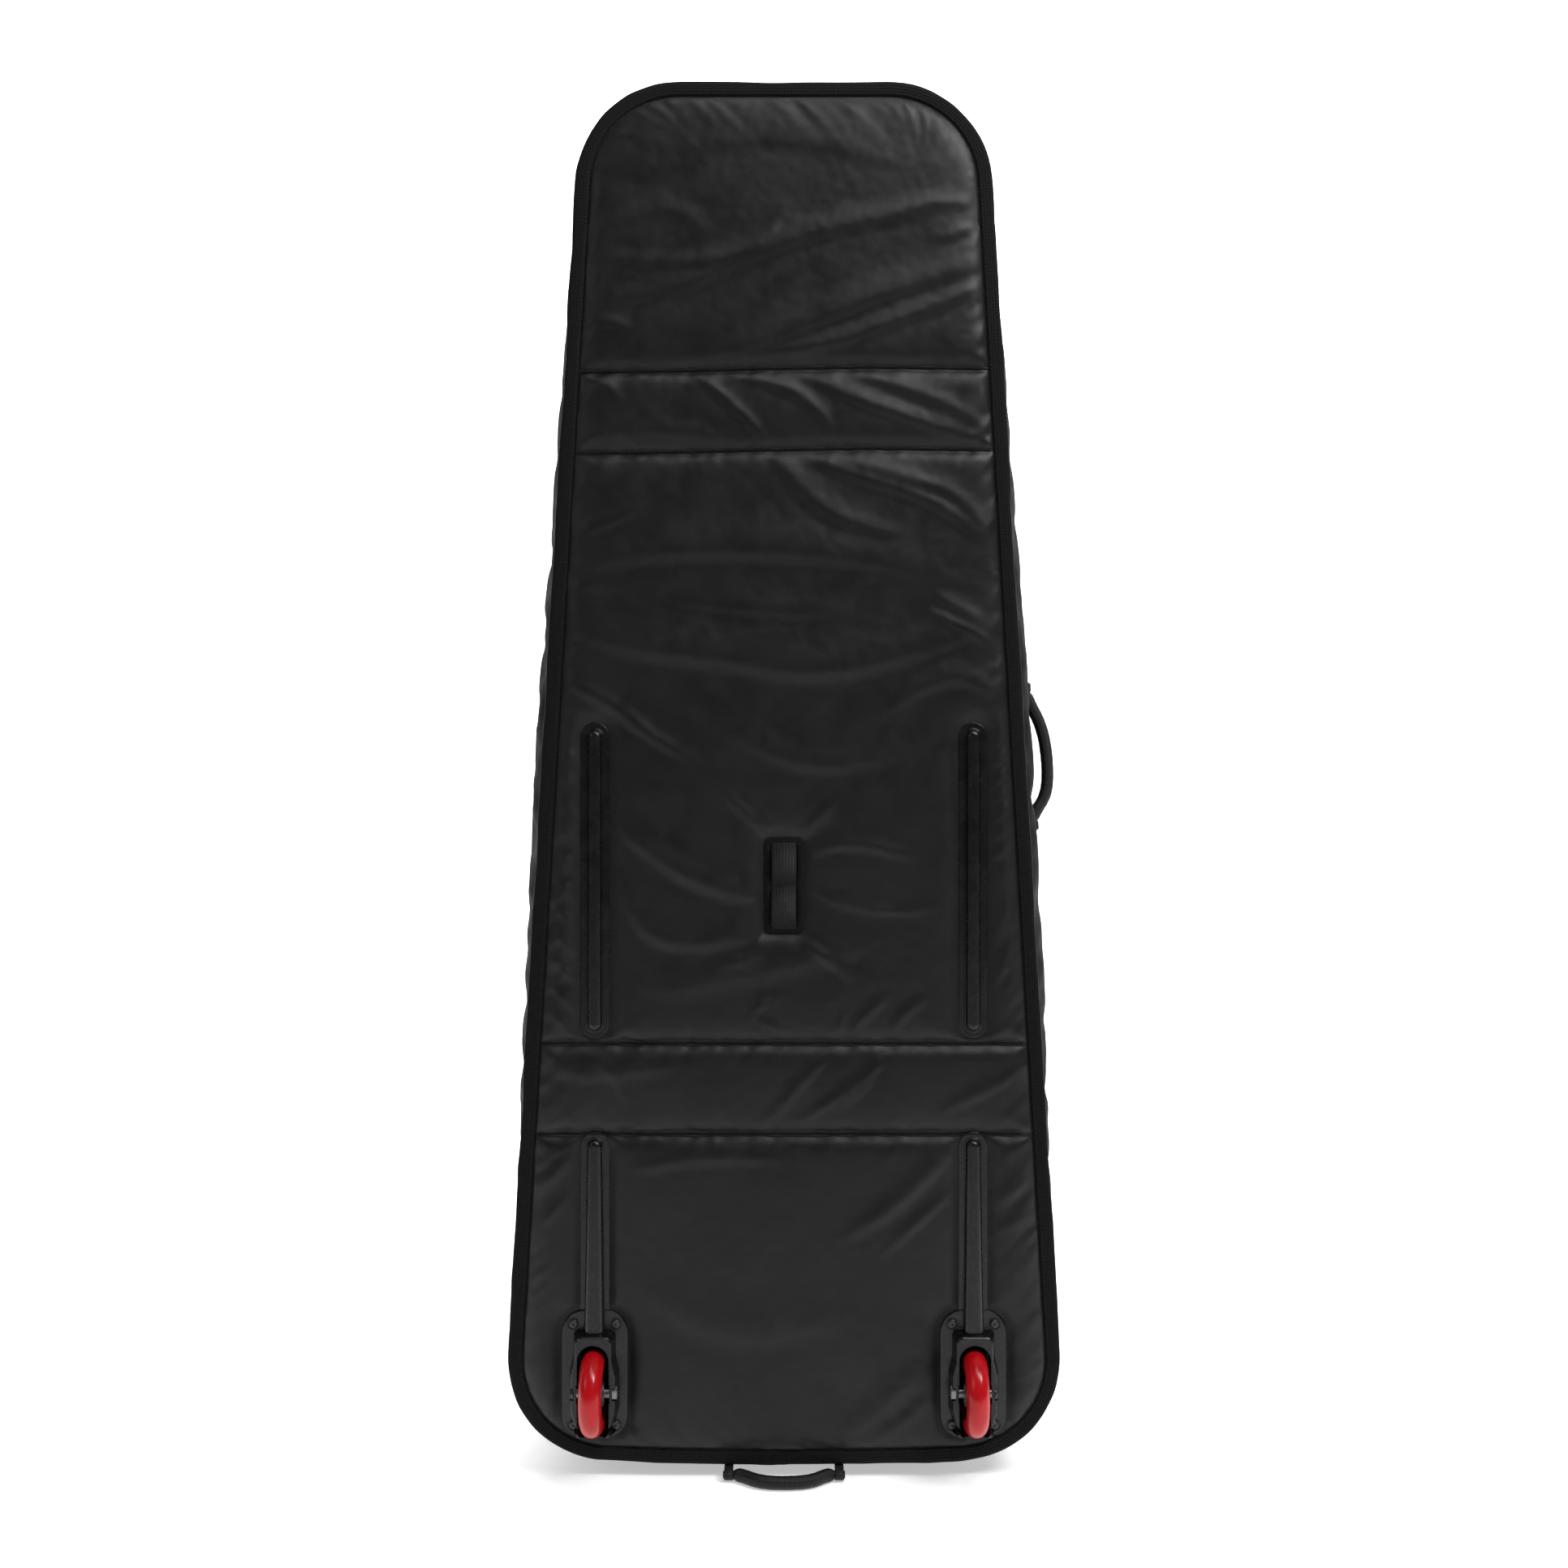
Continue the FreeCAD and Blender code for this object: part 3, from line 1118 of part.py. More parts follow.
def main():
    """Writes one STEP file for each node."""
    os.makedirs("parts", exist_ok=True)
    for name, shape in parts().items():
        bad = [s for s in shape.Solids if not s.isValid() or s.Volume <= 0]
        note = " INVALID" if bad or not shape.Solids else ""
        print(f"{name}: {len(shape.Solids)} solids, {sum(s.Volume for s in shape.Solids) / 1000:.2f} cm3{note}")
        shape.exportStep(f"parts/{name}.step")


main()
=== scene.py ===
import math

import bmesh
import bpy
import numpy as np
from mathutils import Matrix, Vector, kdtree


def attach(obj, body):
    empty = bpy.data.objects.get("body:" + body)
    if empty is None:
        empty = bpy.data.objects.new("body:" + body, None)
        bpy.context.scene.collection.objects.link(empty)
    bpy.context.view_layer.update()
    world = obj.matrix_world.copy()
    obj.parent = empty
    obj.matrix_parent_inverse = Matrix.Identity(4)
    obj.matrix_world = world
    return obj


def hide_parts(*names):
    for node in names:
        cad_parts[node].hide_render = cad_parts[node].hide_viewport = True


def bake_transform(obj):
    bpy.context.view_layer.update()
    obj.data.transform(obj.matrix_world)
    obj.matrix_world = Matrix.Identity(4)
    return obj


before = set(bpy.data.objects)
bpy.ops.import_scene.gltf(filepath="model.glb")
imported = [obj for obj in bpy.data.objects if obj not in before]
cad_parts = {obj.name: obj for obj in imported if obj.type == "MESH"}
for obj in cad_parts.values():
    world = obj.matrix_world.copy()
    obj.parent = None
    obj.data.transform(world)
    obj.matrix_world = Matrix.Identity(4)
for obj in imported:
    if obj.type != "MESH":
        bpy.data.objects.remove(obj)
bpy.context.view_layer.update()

# ------------------------------------------------------------------ sizes, in millimetres
MM = 0.001
LIFT = 13.6                      # lowest bound edge above the ground
LENGTH = 1483.0
NOSE_HALF, TAIL_HALF = 218.0, 302.5
NOSE_R, TAIL_R = 112.5, 109.5
CROWN, CROWN_R = 12.3, 4200.0
BACK_Y, FRONT_Y = -100.0, 100.0
TAPE = 16.0                      # bound edge's width
WALL_OUT = 3.0                   # walls' outer face, in from the outline
WALL_THICK = 5.0
BULGE = 14.0
SEAMS = (355.0, 452.0, 1087.0, 1174.0)
TRACK = 202.5
FLANGE_HALF = 15.6
UPPER_RAIL = (457.6, 796.0)
LOWER_RAIL_TOP = 357.6
PLATE_HALF = 35.5
PLATE_Z = (43.6, 180.6)
WELL_Z = (47.6, 150.6)
PATCH = (42.6, 101.0, 634.6)     # width, length, centre height


# ------------------------------------------------------------------ the outline
ARC_STEPS = 40
CROWN_RISE = CROWN_R * (1 / math.cos(math.atan2(CROWN, TAIL_HALF)) - 1)


def outline(inset, spacing=None, count=None):
    """Evenly spaced points (x, z) round the bag's outline, moved in by inset, from the tail's middle."""
    low, high = LIFT + CROWN - CROWN_RISE, LIFT + LENGTH
    corners = [(0.0, LIFT - CROWN_RISE, CROWN_R), (TAIL_HALF, low, TAIL_R), (NOSE_HALF, high, NOSE_R),
               (-NOSE_HALF, high, NOSE_R), (-TAIL_HALF, low, TAIL_R)]
    n = len(corners)
    pts = [np.array(c[:2]) for c in corners]
    moved = []
    for i in range(n):
        a = pts[i] - pts[i - 1]
        b = pts[(i + 1) % n] - pts[i]
        a, b = a / np.linalg.norm(a), b / np.linalg.norm(b)
        na, nb = np.array([-a[1], a[0]]), np.array([-b[1], b[0]])
        inward = (na + nb) / np.linalg.norm(na + nb)
        moved.append(pts[i] + inward * inset / inward.dot(nb))
    line = []
    for i in range(n):
        p, r = moved[i], corners[i][2] - inset
        back = moved[i - 1] - p
        ahead = moved[(i + 1) % n] - p
        back, ahead = back / np.linalg.norm(back), ahead / np.linalg.norm(ahead)
        half = math.acos(np.clip(back.dot(ahead), -1, 1)) / 2
        bis = (back + ahead) / np.linalg.norm(back + ahead)
        centre = p + bis * r / math.sin(half)
        start, end = p + back * r / math.tan(half), p + ahead * r / math.tan(half)
        a0 = math.atan2(*(start - centre)[::-1])
        a1 = math.atan2(*(end - centre)[::-1])
        turn = (a1 - a0 + math.pi) % (2 * math.pi) - math.pi
        for k in range(ARC_STEPS + 1):
            a = a0 + turn * k / ARC_STEPS
            line.append(centre + r * np.array([math.cos(a), math.sin(a)]))
    line = np.array(line)
    line = np.roll(line, -(ARC_STEPS // 2), axis=0)
    return resample(line, spacing, count, closed=True)


def resample(line, spacing=None, count=None, closed=False):
    """A line's points, evenly spaced."""
    if closed:
        line = np.vstack([line, line[:1]])
    run = np.r_[0, np.cumsum(np.linalg.norm(np.diff(line, axis=0), axis=1))]
    if count is None:
        count = max(2, int(round(run[-1] / spacing)) + (0 if closed else 1))
    at = np.linspace(0, run[-1], count + 1)[:-1] if closed else np.linspace(0, run[-1], count)
    return np.stack([np.interp(at, run, line[:, k]) for k in range(line.shape[1])], axis=1)


def outward(ring):
    """Unit outward normals of a closed line that runs counterclockwise in (x, z)."""
    t = np.roll(ring, -1, axis=0) - np.roll(ring, 1, axis=0)
    t /= np.linalg.norm(t, axis=1)[:, None]
    return np.stack([t[:, 1], -t[:, 0]], axis=1)


def inside(x, z, ring):
    """Which points (x, z) are within a closed line."""
    hit = np.zeros(x.shape, bool)
    for (x0, z0), (x1, z1) in zip(ring, np.roll(ring, -1, axis=0)):
        if z0 == z1:
            continue
        cross = (z0 > z) != (z1 > z)
        hit ^= cross & (x < (x1 - x0) * (z - z0) / (z1 - z0) + x0)
    return hit


def nearest(points, ring):
    """For each point, the number of the nearest point on a densely spaced line, and the distance to it."""
    tree = kdtree.KDTree(len(ring))
    for i, p in enumerate(ring):
        tree.insert((p[0], p[1], 0), i)
    tree.balance()
    found = [tree.find((p[0], p[1], 0)) for p in points]
    return np.array([f[1] for f in found]), np.array([f[2] for f in found])


def spaced(stops, step):
    """A rising list that holds every stop, with steps of about the same size between."""
    values = [stops[0]]
    for a, b in zip(stops, stops[1:]):
        n = max(1, int(round((b - a) / step)))
        values += list(a + (b - a) * np.arange(1, n + 1) / n)
    return np.array(values)


# ------------------------------------------------------------------ meshes
def mesh_piece(name, verts_mm, faces, uv=None, smooth=True):
    """A mesh object at the origin from points in millimetres, with an optional uv for each point."""
    mesh = bpy.data.meshes.new(name)
    mesh.from_pydata((np.asarray(verts_mm, float) * MM).tolist(), [], [list(map(int, f)) for f in faces])
    mesh.update()
    if uv is not None:
        layer = mesh.uv_layers.new(name="cloth")
        loops = np.zeros(len(mesh.loops), np.int32)
        mesh.loops.foreach_get("vertex_index", loops)
        layer.data.foreach_set("uv", (np.asarray(uv, float)[loops] * MM).astype(np.float32).ravel())
    obj = bpy.data.objects.new(name, mesh)
    bpy.context.scene.collection.objects.link(obj)
    if smooth:
        mesh.polygons.foreach_set("use_smooth", [True] * len(mesh.polygons))
    return obj


def points_of(obj):
    co = np.zeros(len(obj.data.vertices) * 3, np.float32)
    obj.data.vertices.foreach_get("co", co)
    return co.reshape(-1, 3).astype(float) / MM


def set_points(obj, verts_mm):
    obj.data.vertices.foreach_set("co", (np.asarray(verts_mm) * MM).astype(np.float32).ravel())
    obj.data.update()


def bake_modifiers(obj):
    """Replaces an object's mesh by its evaluated mesh and drops the modifiers."""
    graph = bpy.context.evaluated_depsgraph_get()
    made = bpy.data.meshes.new_from_object(obj.evaluated_get(graph), preserve_all_data_layers=True,
                                           depsgraph=graph)
    old = obj.data
    obj.modifiers.clear()
    obj.data = made
    made.name = obj.name
    bpy.data.meshes.remove(old)
    return obj


def subdivide(obj, levels=1):
    mod = obj.modifiers.new("Smooth cloth", "SUBSURF")
    mod.levels = mod.render_levels = levels
    mod.boundary_smooth = "PRESERVE_CORNERS"
    return bake_modifiers(obj)


def thicken(obj, thickness, offset=-1.0):
    """A closed wall from an open sheet: it grows inwards with offset -1."""
    mod = obj.modifiers.new("Wall", "SOLIDIFY")
    mod.thickness, mod.offset = thickness * MM, offset
    mod.use_even_offset = False
    return bake_modifiers(obj)


def sweep(name, path, frame_u, frame_v, section, closed=False, caps=True):
    """A solid that carries a closed section (u, v) along a path, with unit vectors u and v at each point."""
    path, frame_u, frame_v = (np.asarray(a, float) for a in (path, frame_u, frame_v))
    n = len(path)
    sections = [np.asarray(section(i) if callable(section) else section, float) for i in range(n)]
    m = len(sections[0])
    verts = np.concatenate([p + s[:, :1] * u + s[:, 1:] * v
                            for p, u, v, s in zip(path, frame_u, frame_v, sections)])
    run = np.r_[0, np.cumsum(np.linalg.norm(np.diff(path, axis=0), axis=1))]
    faces, uv_faces = [], []
    rows = n if closed else n - 1
    girth = np.r_[0, np.cumsum(np.linalg.norm(np.roll(sections[0], -1, 0) - sections[0], axis=1))]
    total = run[-1] + (np.linalg.norm(path[0] - path[-1]) if closed else 0)
    for i in range(rows):
        j = (i + 1) % n
        u0, u1 = run[i], run[i + 1] if i + 1 < n else total
        for k in range(m):
            l = (k + 1) % m
            faces.append((i * m + k, i * m + l, j * m + l, j * m + k))
            uv_faces += [(u0, girth[k]), (u0, girth[k + 1]), (u1, girth[k + 1]), (u1, girth[k])]
    if caps and not closed:
        faces.append(tuple(range(m))[::-1])
        faces.append(tuple((n - 1) * m + k for k in range(m)))
        uv_faces += [(0, 0)] * (2 * m)
    obj = mesh_piece(name, verts, faces)
    layer = obj.data.uv_layers.new(name="cloth")
    layer.data.foreach_set("uv", (np.array(uv_faces) * MM).astype(np.float32).ravel())
    return face_outwards(obj)


def face_outwards(obj):
    bm = bmesh.new()
    bm.from_mesh(obj.data)
    bmesh.ops.recalc_face_normals(bm, faces=bm.faces)
    bm.to_mesh(obj.data)
    bm.free()
    return obj


def dress(obj, material, body=None, stands_for=()):
    """A finished piece's material and body; the CAD parts it stands for are hidden."""
    obj.data.materials.clear()
    obj.data.materials.append(material)
    if body:
        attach(obj, body)
    if stands_for:
        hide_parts(*stands_for)
    return obj


# ------------------------------------------------------------------ cloth
def settle(obj, hold, spare, pressure, limit, frames=14, stiffness=18.0, bend=0.6):
    """Lets a sheet with a little spare cloth buckle between the places that hold it.
    hold is 1 where the sheet is sewn down and small where only its padding steers it."""
    before = points_of(obj)
    group = obj.vertex_groups.new(name="hold")
    for i, w in enumerate(hold):
        group.add([i], float(w), "REPLACE")
    mod = obj.modifiers.new("Cloth", "CLOTH")
    s = mod.settings
    s.quality = 6
    s.mass = 0.25
    s.tension_stiffness = s.compression_stiffness = stiffness
    s.shear_stiffness = stiffness * 0.5
    s.bending_stiffness = bend
    s.tension_damping = s.compression_damping = s.shear_damping = 8
    s.air_damping = 4
    s.vertex_group_mass = "hold"
    s.pin_stiffness = 1.0
    s.shrink_min = -spare
    s.use_pressure = pressure != 0
    s.uniform_pressure_force = pressure
    s.effector_weights.gravity = 0
    mod.point_cache.frame_start, mod.point_cache.frame_end = 1, frames
    mod.collision_settings.use_collision = False
    scene = bpy.context.scene
    for f in range(1, frames + 1):
        scene.frame_set(f)
    ev = obj.evaluated_get(bpy.context.evaluated_depsgraph_get())
    co = np.zeros(len(ev.data.vertices) * 3, np.float32)
    ev.data.vertices.foreach_get("co", co)
    after = co.reshape(-1, 3).astype(float) / MM
    obj.modifiers.clear()
    obj.vertex_groups.clear()
    scene.frame_set(1)
    move = after - before
    size = np.linalg.norm(move, axis=1)
    scale = np.where(size > 0, limit * np.tanh(size / limit) / np.maximum(size, 1e-9), 1)
    set_points(obj, before + move * scale[:, None])
    return obj


def soft_noise(x, z, cell, seed):
    """Smooth random heights from -1 to 1 on a lattice of that cell."""
    rng = np.random.default_rng(seed)
    i, j = np.floor(x / cell).astype(int), np.floor(z / cell).astype(int)
    i0, j0 = i.min(), j.min()
    grid = rng.uniform(-1, 1, (i.max() - i0 + 2, j.max() - j0 + 2))
    fx, fz = x / cell - i, z / cell - j
    fx, fz = fx * fx * (3 - 2 * fx), fz * fz * (3 - 2 * fz)
    i, j = i - i0, j - j0
    a = grid[i, j] * (1 - fx) + grid[i + 1, j] * fx
    b = grid[i, j + 1] * (1 - fx) + grid[i + 1, j + 1] * fx
    return a * (1 - fz) + b * fz


def panel_sheet(inset, xs, zs, holes=()):
    """A flat grid in the outline, its last row of cells stretched to meet the edge exactly."""
    ring = outline(inset, spacing=1.0)
    X, Z = np.meshgrid(xs, zs, indexing="ij")
    step = float(np.median(np.diff(xs)))
    flat = np.stack([X.ravel(), Z.ravel()], axis=1)
    within = inside(flat[:, 0], flat[:, 1], ring)
    _, far = nearest(flat, ring)
    keep = (within & (far > 0.45 * step)).reshape(X.shape)
    cells = keep[:-1, :-1] & keep[1:, :-1] & keep[1:, 1:] & keep[:-1, 1:]
    cx, cz = (xs[:-1] + xs[1:]) / 2, (zs[:-1] + zs[1:]) / 2
    for x0, x1, z0, z1 in holes:
        cells &= ~((cx > x0)[:, None] & (cx < x1)[:, None] & (cz > z0)[None] & (cz < z1)[None])
    index = np.arange(X.size).reshape(X.shape)
    quads = np.stack([index[:-1, :-1], index[1:, :-1], index[1:, 1:], index[:-1, 1:]], axis=-1)[cells]
    used, inverse = np.unique(quads, return_inverse=True)
    quads = inverse.reshape(-1, 4)
    pts = flat[used]
    sides = {}
    for q in quads:
        for k in range(4):
            a, b = int(q[k]), int(q[(k + 1) % 4])
            if (b, a) in sides:
                del sides[(b, a)]
            else:
                sides[(a, b)] = True
    _, gap = nearest(pts, ring)
    rim = [(a, b) for a, b in sides if gap[a] < 2.6 * step and gap[b] < 2.6 * step]
    loop = sorted({v for e in rim for v in e})
    target = ring[nearest(pts[loop], ring)[0]]
    number = {v: len(pts) + i for i, v in enumerate(loop)}
    pts = np.vstack([pts, target])
    faces = [tuple(q) for q in quads] + [(b, a, number[a], number[b]) for a, b in rim]
    return pts, faces


def sewn_places():
    """Rectangles (x0, x1, z0, z1) where hard pieces hold the back panel's cloth down, and their lean."""
    places = []
    for side in (-1, 1):
        x = side * TRACK
        f = FLANGE_HALF + 0.6
        places.append((x - f, x + f, UPPER_RAIL[0] + LIFT - 0.5, UPPER_RAIL[1] + LIFT + 0.5, f))
        places.append((x - f, x + f, PLATE_Z[1] - 5, LOWER_RAIL_TOP + LIFT + 0.5, f))
        p = PLATE_HALF + 0.8
        places.append((x - p, x + p, PLATE_Z[0] - 0.8, PLATE_Z[1] + 0.8, 25.0))
    places.append((-PATCH[0] / 2 - 0.5, PATCH[0] / 2 + 0.5, PATCH[2] - PATCH[1] / 2 - 0.5,
                   PATCH[2] + PATCH[1] / 2 + 0.5, 2.0))
    return places


def rounded_box_gap(x, z, place):
    """Distance from points to a rounded rectangle; negative inside."""
    x0, x1, z0, z1, r = place
    r = min(r, (x1 - x0) / 2, (z1 - z0) / 2)
    dx = np.abs(x - (x0 + x1) / 2) - ((x1 - x0) / 2 - r)
    dz = np.abs(z - (z0 + z1) / 2) - ((z1 - z0) / 2 - r)
    return np.hypot(np.maximum(dx, 0), np.maximum(dz, 0)) + np.minimum(np.maximum(dx, dz), 0) - r


def smooth_line(points, times=3):
    """A polyline with its corners cut back to a curve."""
    line = np.asarray(points, float)
    for _ in range(times):
        cut = np.empty((2 * (len(line) - 1), line.shape[1]))
        cut[0::2] = 0.75 * line[:-1] + 0.25 * line[1:]
        cut[1::2] = 0.25 * line[:-1] + 0.75 * line[1:]
        line = np.vstack([line[:1], cut, line[-1:]])
    return line


def creases(x, z, strokes):
    """Soft folds along lines, each steeper on one side: (height, width, points)."""
    total = np.zeros(len(x))
    for height, width, points in strokes:
        line = resample(smooth_line(points), spacing=3.0)
        reach = 3.2 * width
        near = np.where((x > line[:, 0].min() - reach) & (x < line[:, 0].max() + reach)
                        & (z > line[:, 1].min() - reach) & (z < line[:, 1].max() + reach))[0]
        if not len(near):
            continue
        d = np.stack([x[near], z[near]], 1)[:, None] - line[None]
        gap = np.hypot(d[..., 0], d[..., 1])
        k = gap.argmin(1)
        rows = np.arange(len(near))
        run = np.gradient(line, axis=0)[k]
        side = np.sign(run[:, 0] * d[rows, k, 1] - run[:, 1] * d[rows, k, 0])
        share = k / (len(line) - 1)
        taper = np.sin(np.pi * np.clip(share * 0.94 + 0.03, 0, 1)) ** 0.55
        w = width * np.where(side > 0, 1.0, 0.36) * (0.5 + 0.5 * taper)
        near_w = gap[rows, k] / w
        total[near] += height * taper * (np.exp(-near_w ** 2) - 0.35 * np.exp(-(near_w / 2.2) ** 2))
    return total


def gathers(s, gap, cell, reach, seed, lean=0.5):
    """Small puckers that run out from a sewn line."""
    at = (s + lean * gap) / cell
    rng = np.random.default_rng(seed)
    low = int(math.floor(at.min()))
    knots = rng.uniform(-1, 1, int(at.max()) - low + 3) * rng.uniform(0.2, 1, int(at.max()) - low + 3)
    i = np.floor(at).astype(int)
    f = at - i
    f = f * f * (3 - 2 * f)
    return (knots[i - low] * (1 - f) + knots[i - low + 1] * f) * np.exp(-gap / reach)


BACK_FOLDS = [
    # nose panel
    (2.2, 9, [(-220, 1333), (-189, 1337), (-150, 1363)]),
    (1.8, 14, [(-176, 1341), (-123, 1361), (-84, 1333)]),
    (2.4, 13, [(-216, 1311), (-176, 1300), (-84, 1298), (-23, 1315), (3, 1359)]),
    (4.2, 20, [(-222, 1254), (-145, 1262), (-75, 1289), (8, 1324), (74, 1341), (161, 1355)]),
    (2.6, 11, [(-172, 1210), (-154, 1232), (-110, 1263), (-75, 1285)]),
    (4.4, 22, [(-75, 1201), (-14, 1219), (74, 1254), (152, 1280), (207, 1298)]),
    (3.4, 15, [(-49, 1196), (52, 1210), (117, 1236), (208, 1274)]),
    (2.4, 9, [(144, 1238), (174, 1252), (209, 1276)]),
    (2.2, 12, [(120, 1352), (160, 1364), (204, 1360)]), (2.4, 10, [(165, 1322), (204, 1338)]),
    (2.4, 10, [(-220, 1230), (-196, 1238), (-160, 1226)]), (1.6, 30, [(-120, 1420), (0, 1440), (120, 1405)]),
    # upper fold band
    (3.2, 9, [(-97, 1182), (-58, 1149), (-18, 1108)]),
    (3.4, 10, [(-58, 1180), (12, 1162), (47, 1127), (49, 1107)]),
    (3.4, 12, [(17, 1178), (74, 1153), (161, 1122), (208, 1106)]),
    (2.8, 11, [(74, 1180), (161, 1153), (211, 1127)]),
    (2.2, 8, [(-216, 1181), (-186, 1168), (-176, 1150)]),
    (2.4, 16, [(-222, 1112), (-150, 1124), (-70, 1112)]),
    # middle panel
    (3.8, 18, [(-14, 1094), (12, 1061), (52, 1026), (117, 1009)]),
    (3.8, 15, [(25, 1090), (74, 1070), (126, 1057), (174, 1035), (219, 1000)]),
    (2.8, 12, [(70, 1086), (136, 1068), (186, 1052), (221, 1008)]),
    (3.0, 13, [(-232, 1008), (-194, 1017), (-154, 1037)]),
    (4.6, 32, [(-234, 973), (-145, 991), (-58, 995), (74, 987), (161, 965)]),
    (5.2, 34, [(-236, 921), (-202, 899), (-145, 886), (-58, 877), (30, 860), (117, 877), (205, 905)]),
    (4.4, 13, [(-238, 853), (-189, 829), (-145, 794), (-105, 770)]), (1.8, 5, [(-14, 813), (17, 791)]),
    (3.4, 18, [(112, 822), (179, 864), (231, 836)]), (3.0, 11, [(161, 943), (214, 914)]),
    (3.0, 11, [(154, 926), (206, 902), (228, 880)]), (2.4, 10, [(-232, 948), (-205, 938), (-178, 944)]),
    (3.4, 26, [(-60, 800), (20, 760), (110, 770)]), (3.0, 22, [(-120, 940), (-40, 930), (60, 925)]),
    # round the storage patch and between the rails
    (4.4, 20, [(-183, 702), (-147, 673), (-112, 647), (-60, 626), (-23, 622)]),
    (3.2, 19, [(-180, 640), (-147, 578), (-95, 569), (-23, 584)]),
    (3.2, 9, [(-66, 734), (-38, 706), (-17, 688)]),
    (3.2, 9, [(52, 724), (30, 704), (15, 688)]), (3.2, 13, [(23, 668), (70, 682), (140, 663)]),
    (2.6, 9, [(23, 632), (49, 617), (114, 604), (160, 610)]), (3.4, 9, [(14, 583), (36, 560), (72, 536)]),
    (2.8, 9, [(-14, 583), (-34, 560), (-70, 552)]), (2.8, 6, [(-36, 493), (-17, 512), (-22, 532)]),
    (2.4, 5, [(-34, 492), (0, 477)]), (3.0, 8, [(72, 473), (84, 491), (112, 516)]),
    (3.0, 8, [(116, 473), (126, 494), (150, 512)]),
    (2.6, 7, [(54, 473), (64, 486), (66, 500)]), (2.6, 30, [(-140, 520), (-40, 540), (90, 570)]),
    (3.2, 7, [(219, 505), (232, 545), (251, 582)]), (2.8, 7, [(221, 560), (236, 600), (246, 640)]),
    # lower fold band
    (3.2, 9, [(-23, 377), (1, 399), (18, 421), (46, 452)]),
    (3.2, 8, [(12, 377), (53, 404), (70, 417), (112, 452)]),
    (2.6, 8, [(50, 392), (92, 424), (104, 446)]), (2.8, 10, [(170, 393), (231, 421), (256, 446)]),
    (2.2, 9, [(-216, 458), (-180, 430), (-168, 400)]), (2.4, 20, [(-254, 452), (-230, 430), (-120, 440)]),
    # tail panel
    (3.2, 8, [(-275, 289), (-247, 321), (-222, 350)]), (2.8, 8, [(-277, 254), (-247, 282), (-222, 310)]),
    (3.6, 15, [(66, 258), (114, 286), (170, 339), (183, 356)]),
    (2.8, 9, [(110, 244), (157, 286), (184, 312)]),
    (2.8, 10, [(222, 290), (240, 300), (266, 330)]), (2.4, 9, [(224, 262), (250, 272), (268, 300)]),
    (3.4, 18, [(62, 44), (118, 86), (160, 128)]), (2.6, 10, [(96, 40), (138, 66), (160, 92)]),
    (2.6, 34, [(-150, 200), (-60, 150), (60, 170)]), (2.4, 14, [(-160, 330), (-90, 345), (0, 340)]),
]
for k in range(11):
    up = 28 * k
    BACK_FOLDS.append((4.2, 6, [(-252 + 1.4 * k, 500 + up), (-238 + 1.4 * k, 488 + up), (-222, 470 + up)]))
    BACK_FOLDS.append((3.2, 6, [(222, 662 + 20 * k), (233, 668 + 20 * k), (243 - 0.8 * k, 684 + 20 * k)]))


def bowed(x, z):
    """How far the two upper fold seams stray from straight."""
    off = np.min([np.abs(z - s - LIFT) for s in SEAMS[2:]], axis=0)
    return 2.4 * np.sin(x / 95.0 + 0.6) * np.exp(-(off / 30.0) ** 2)


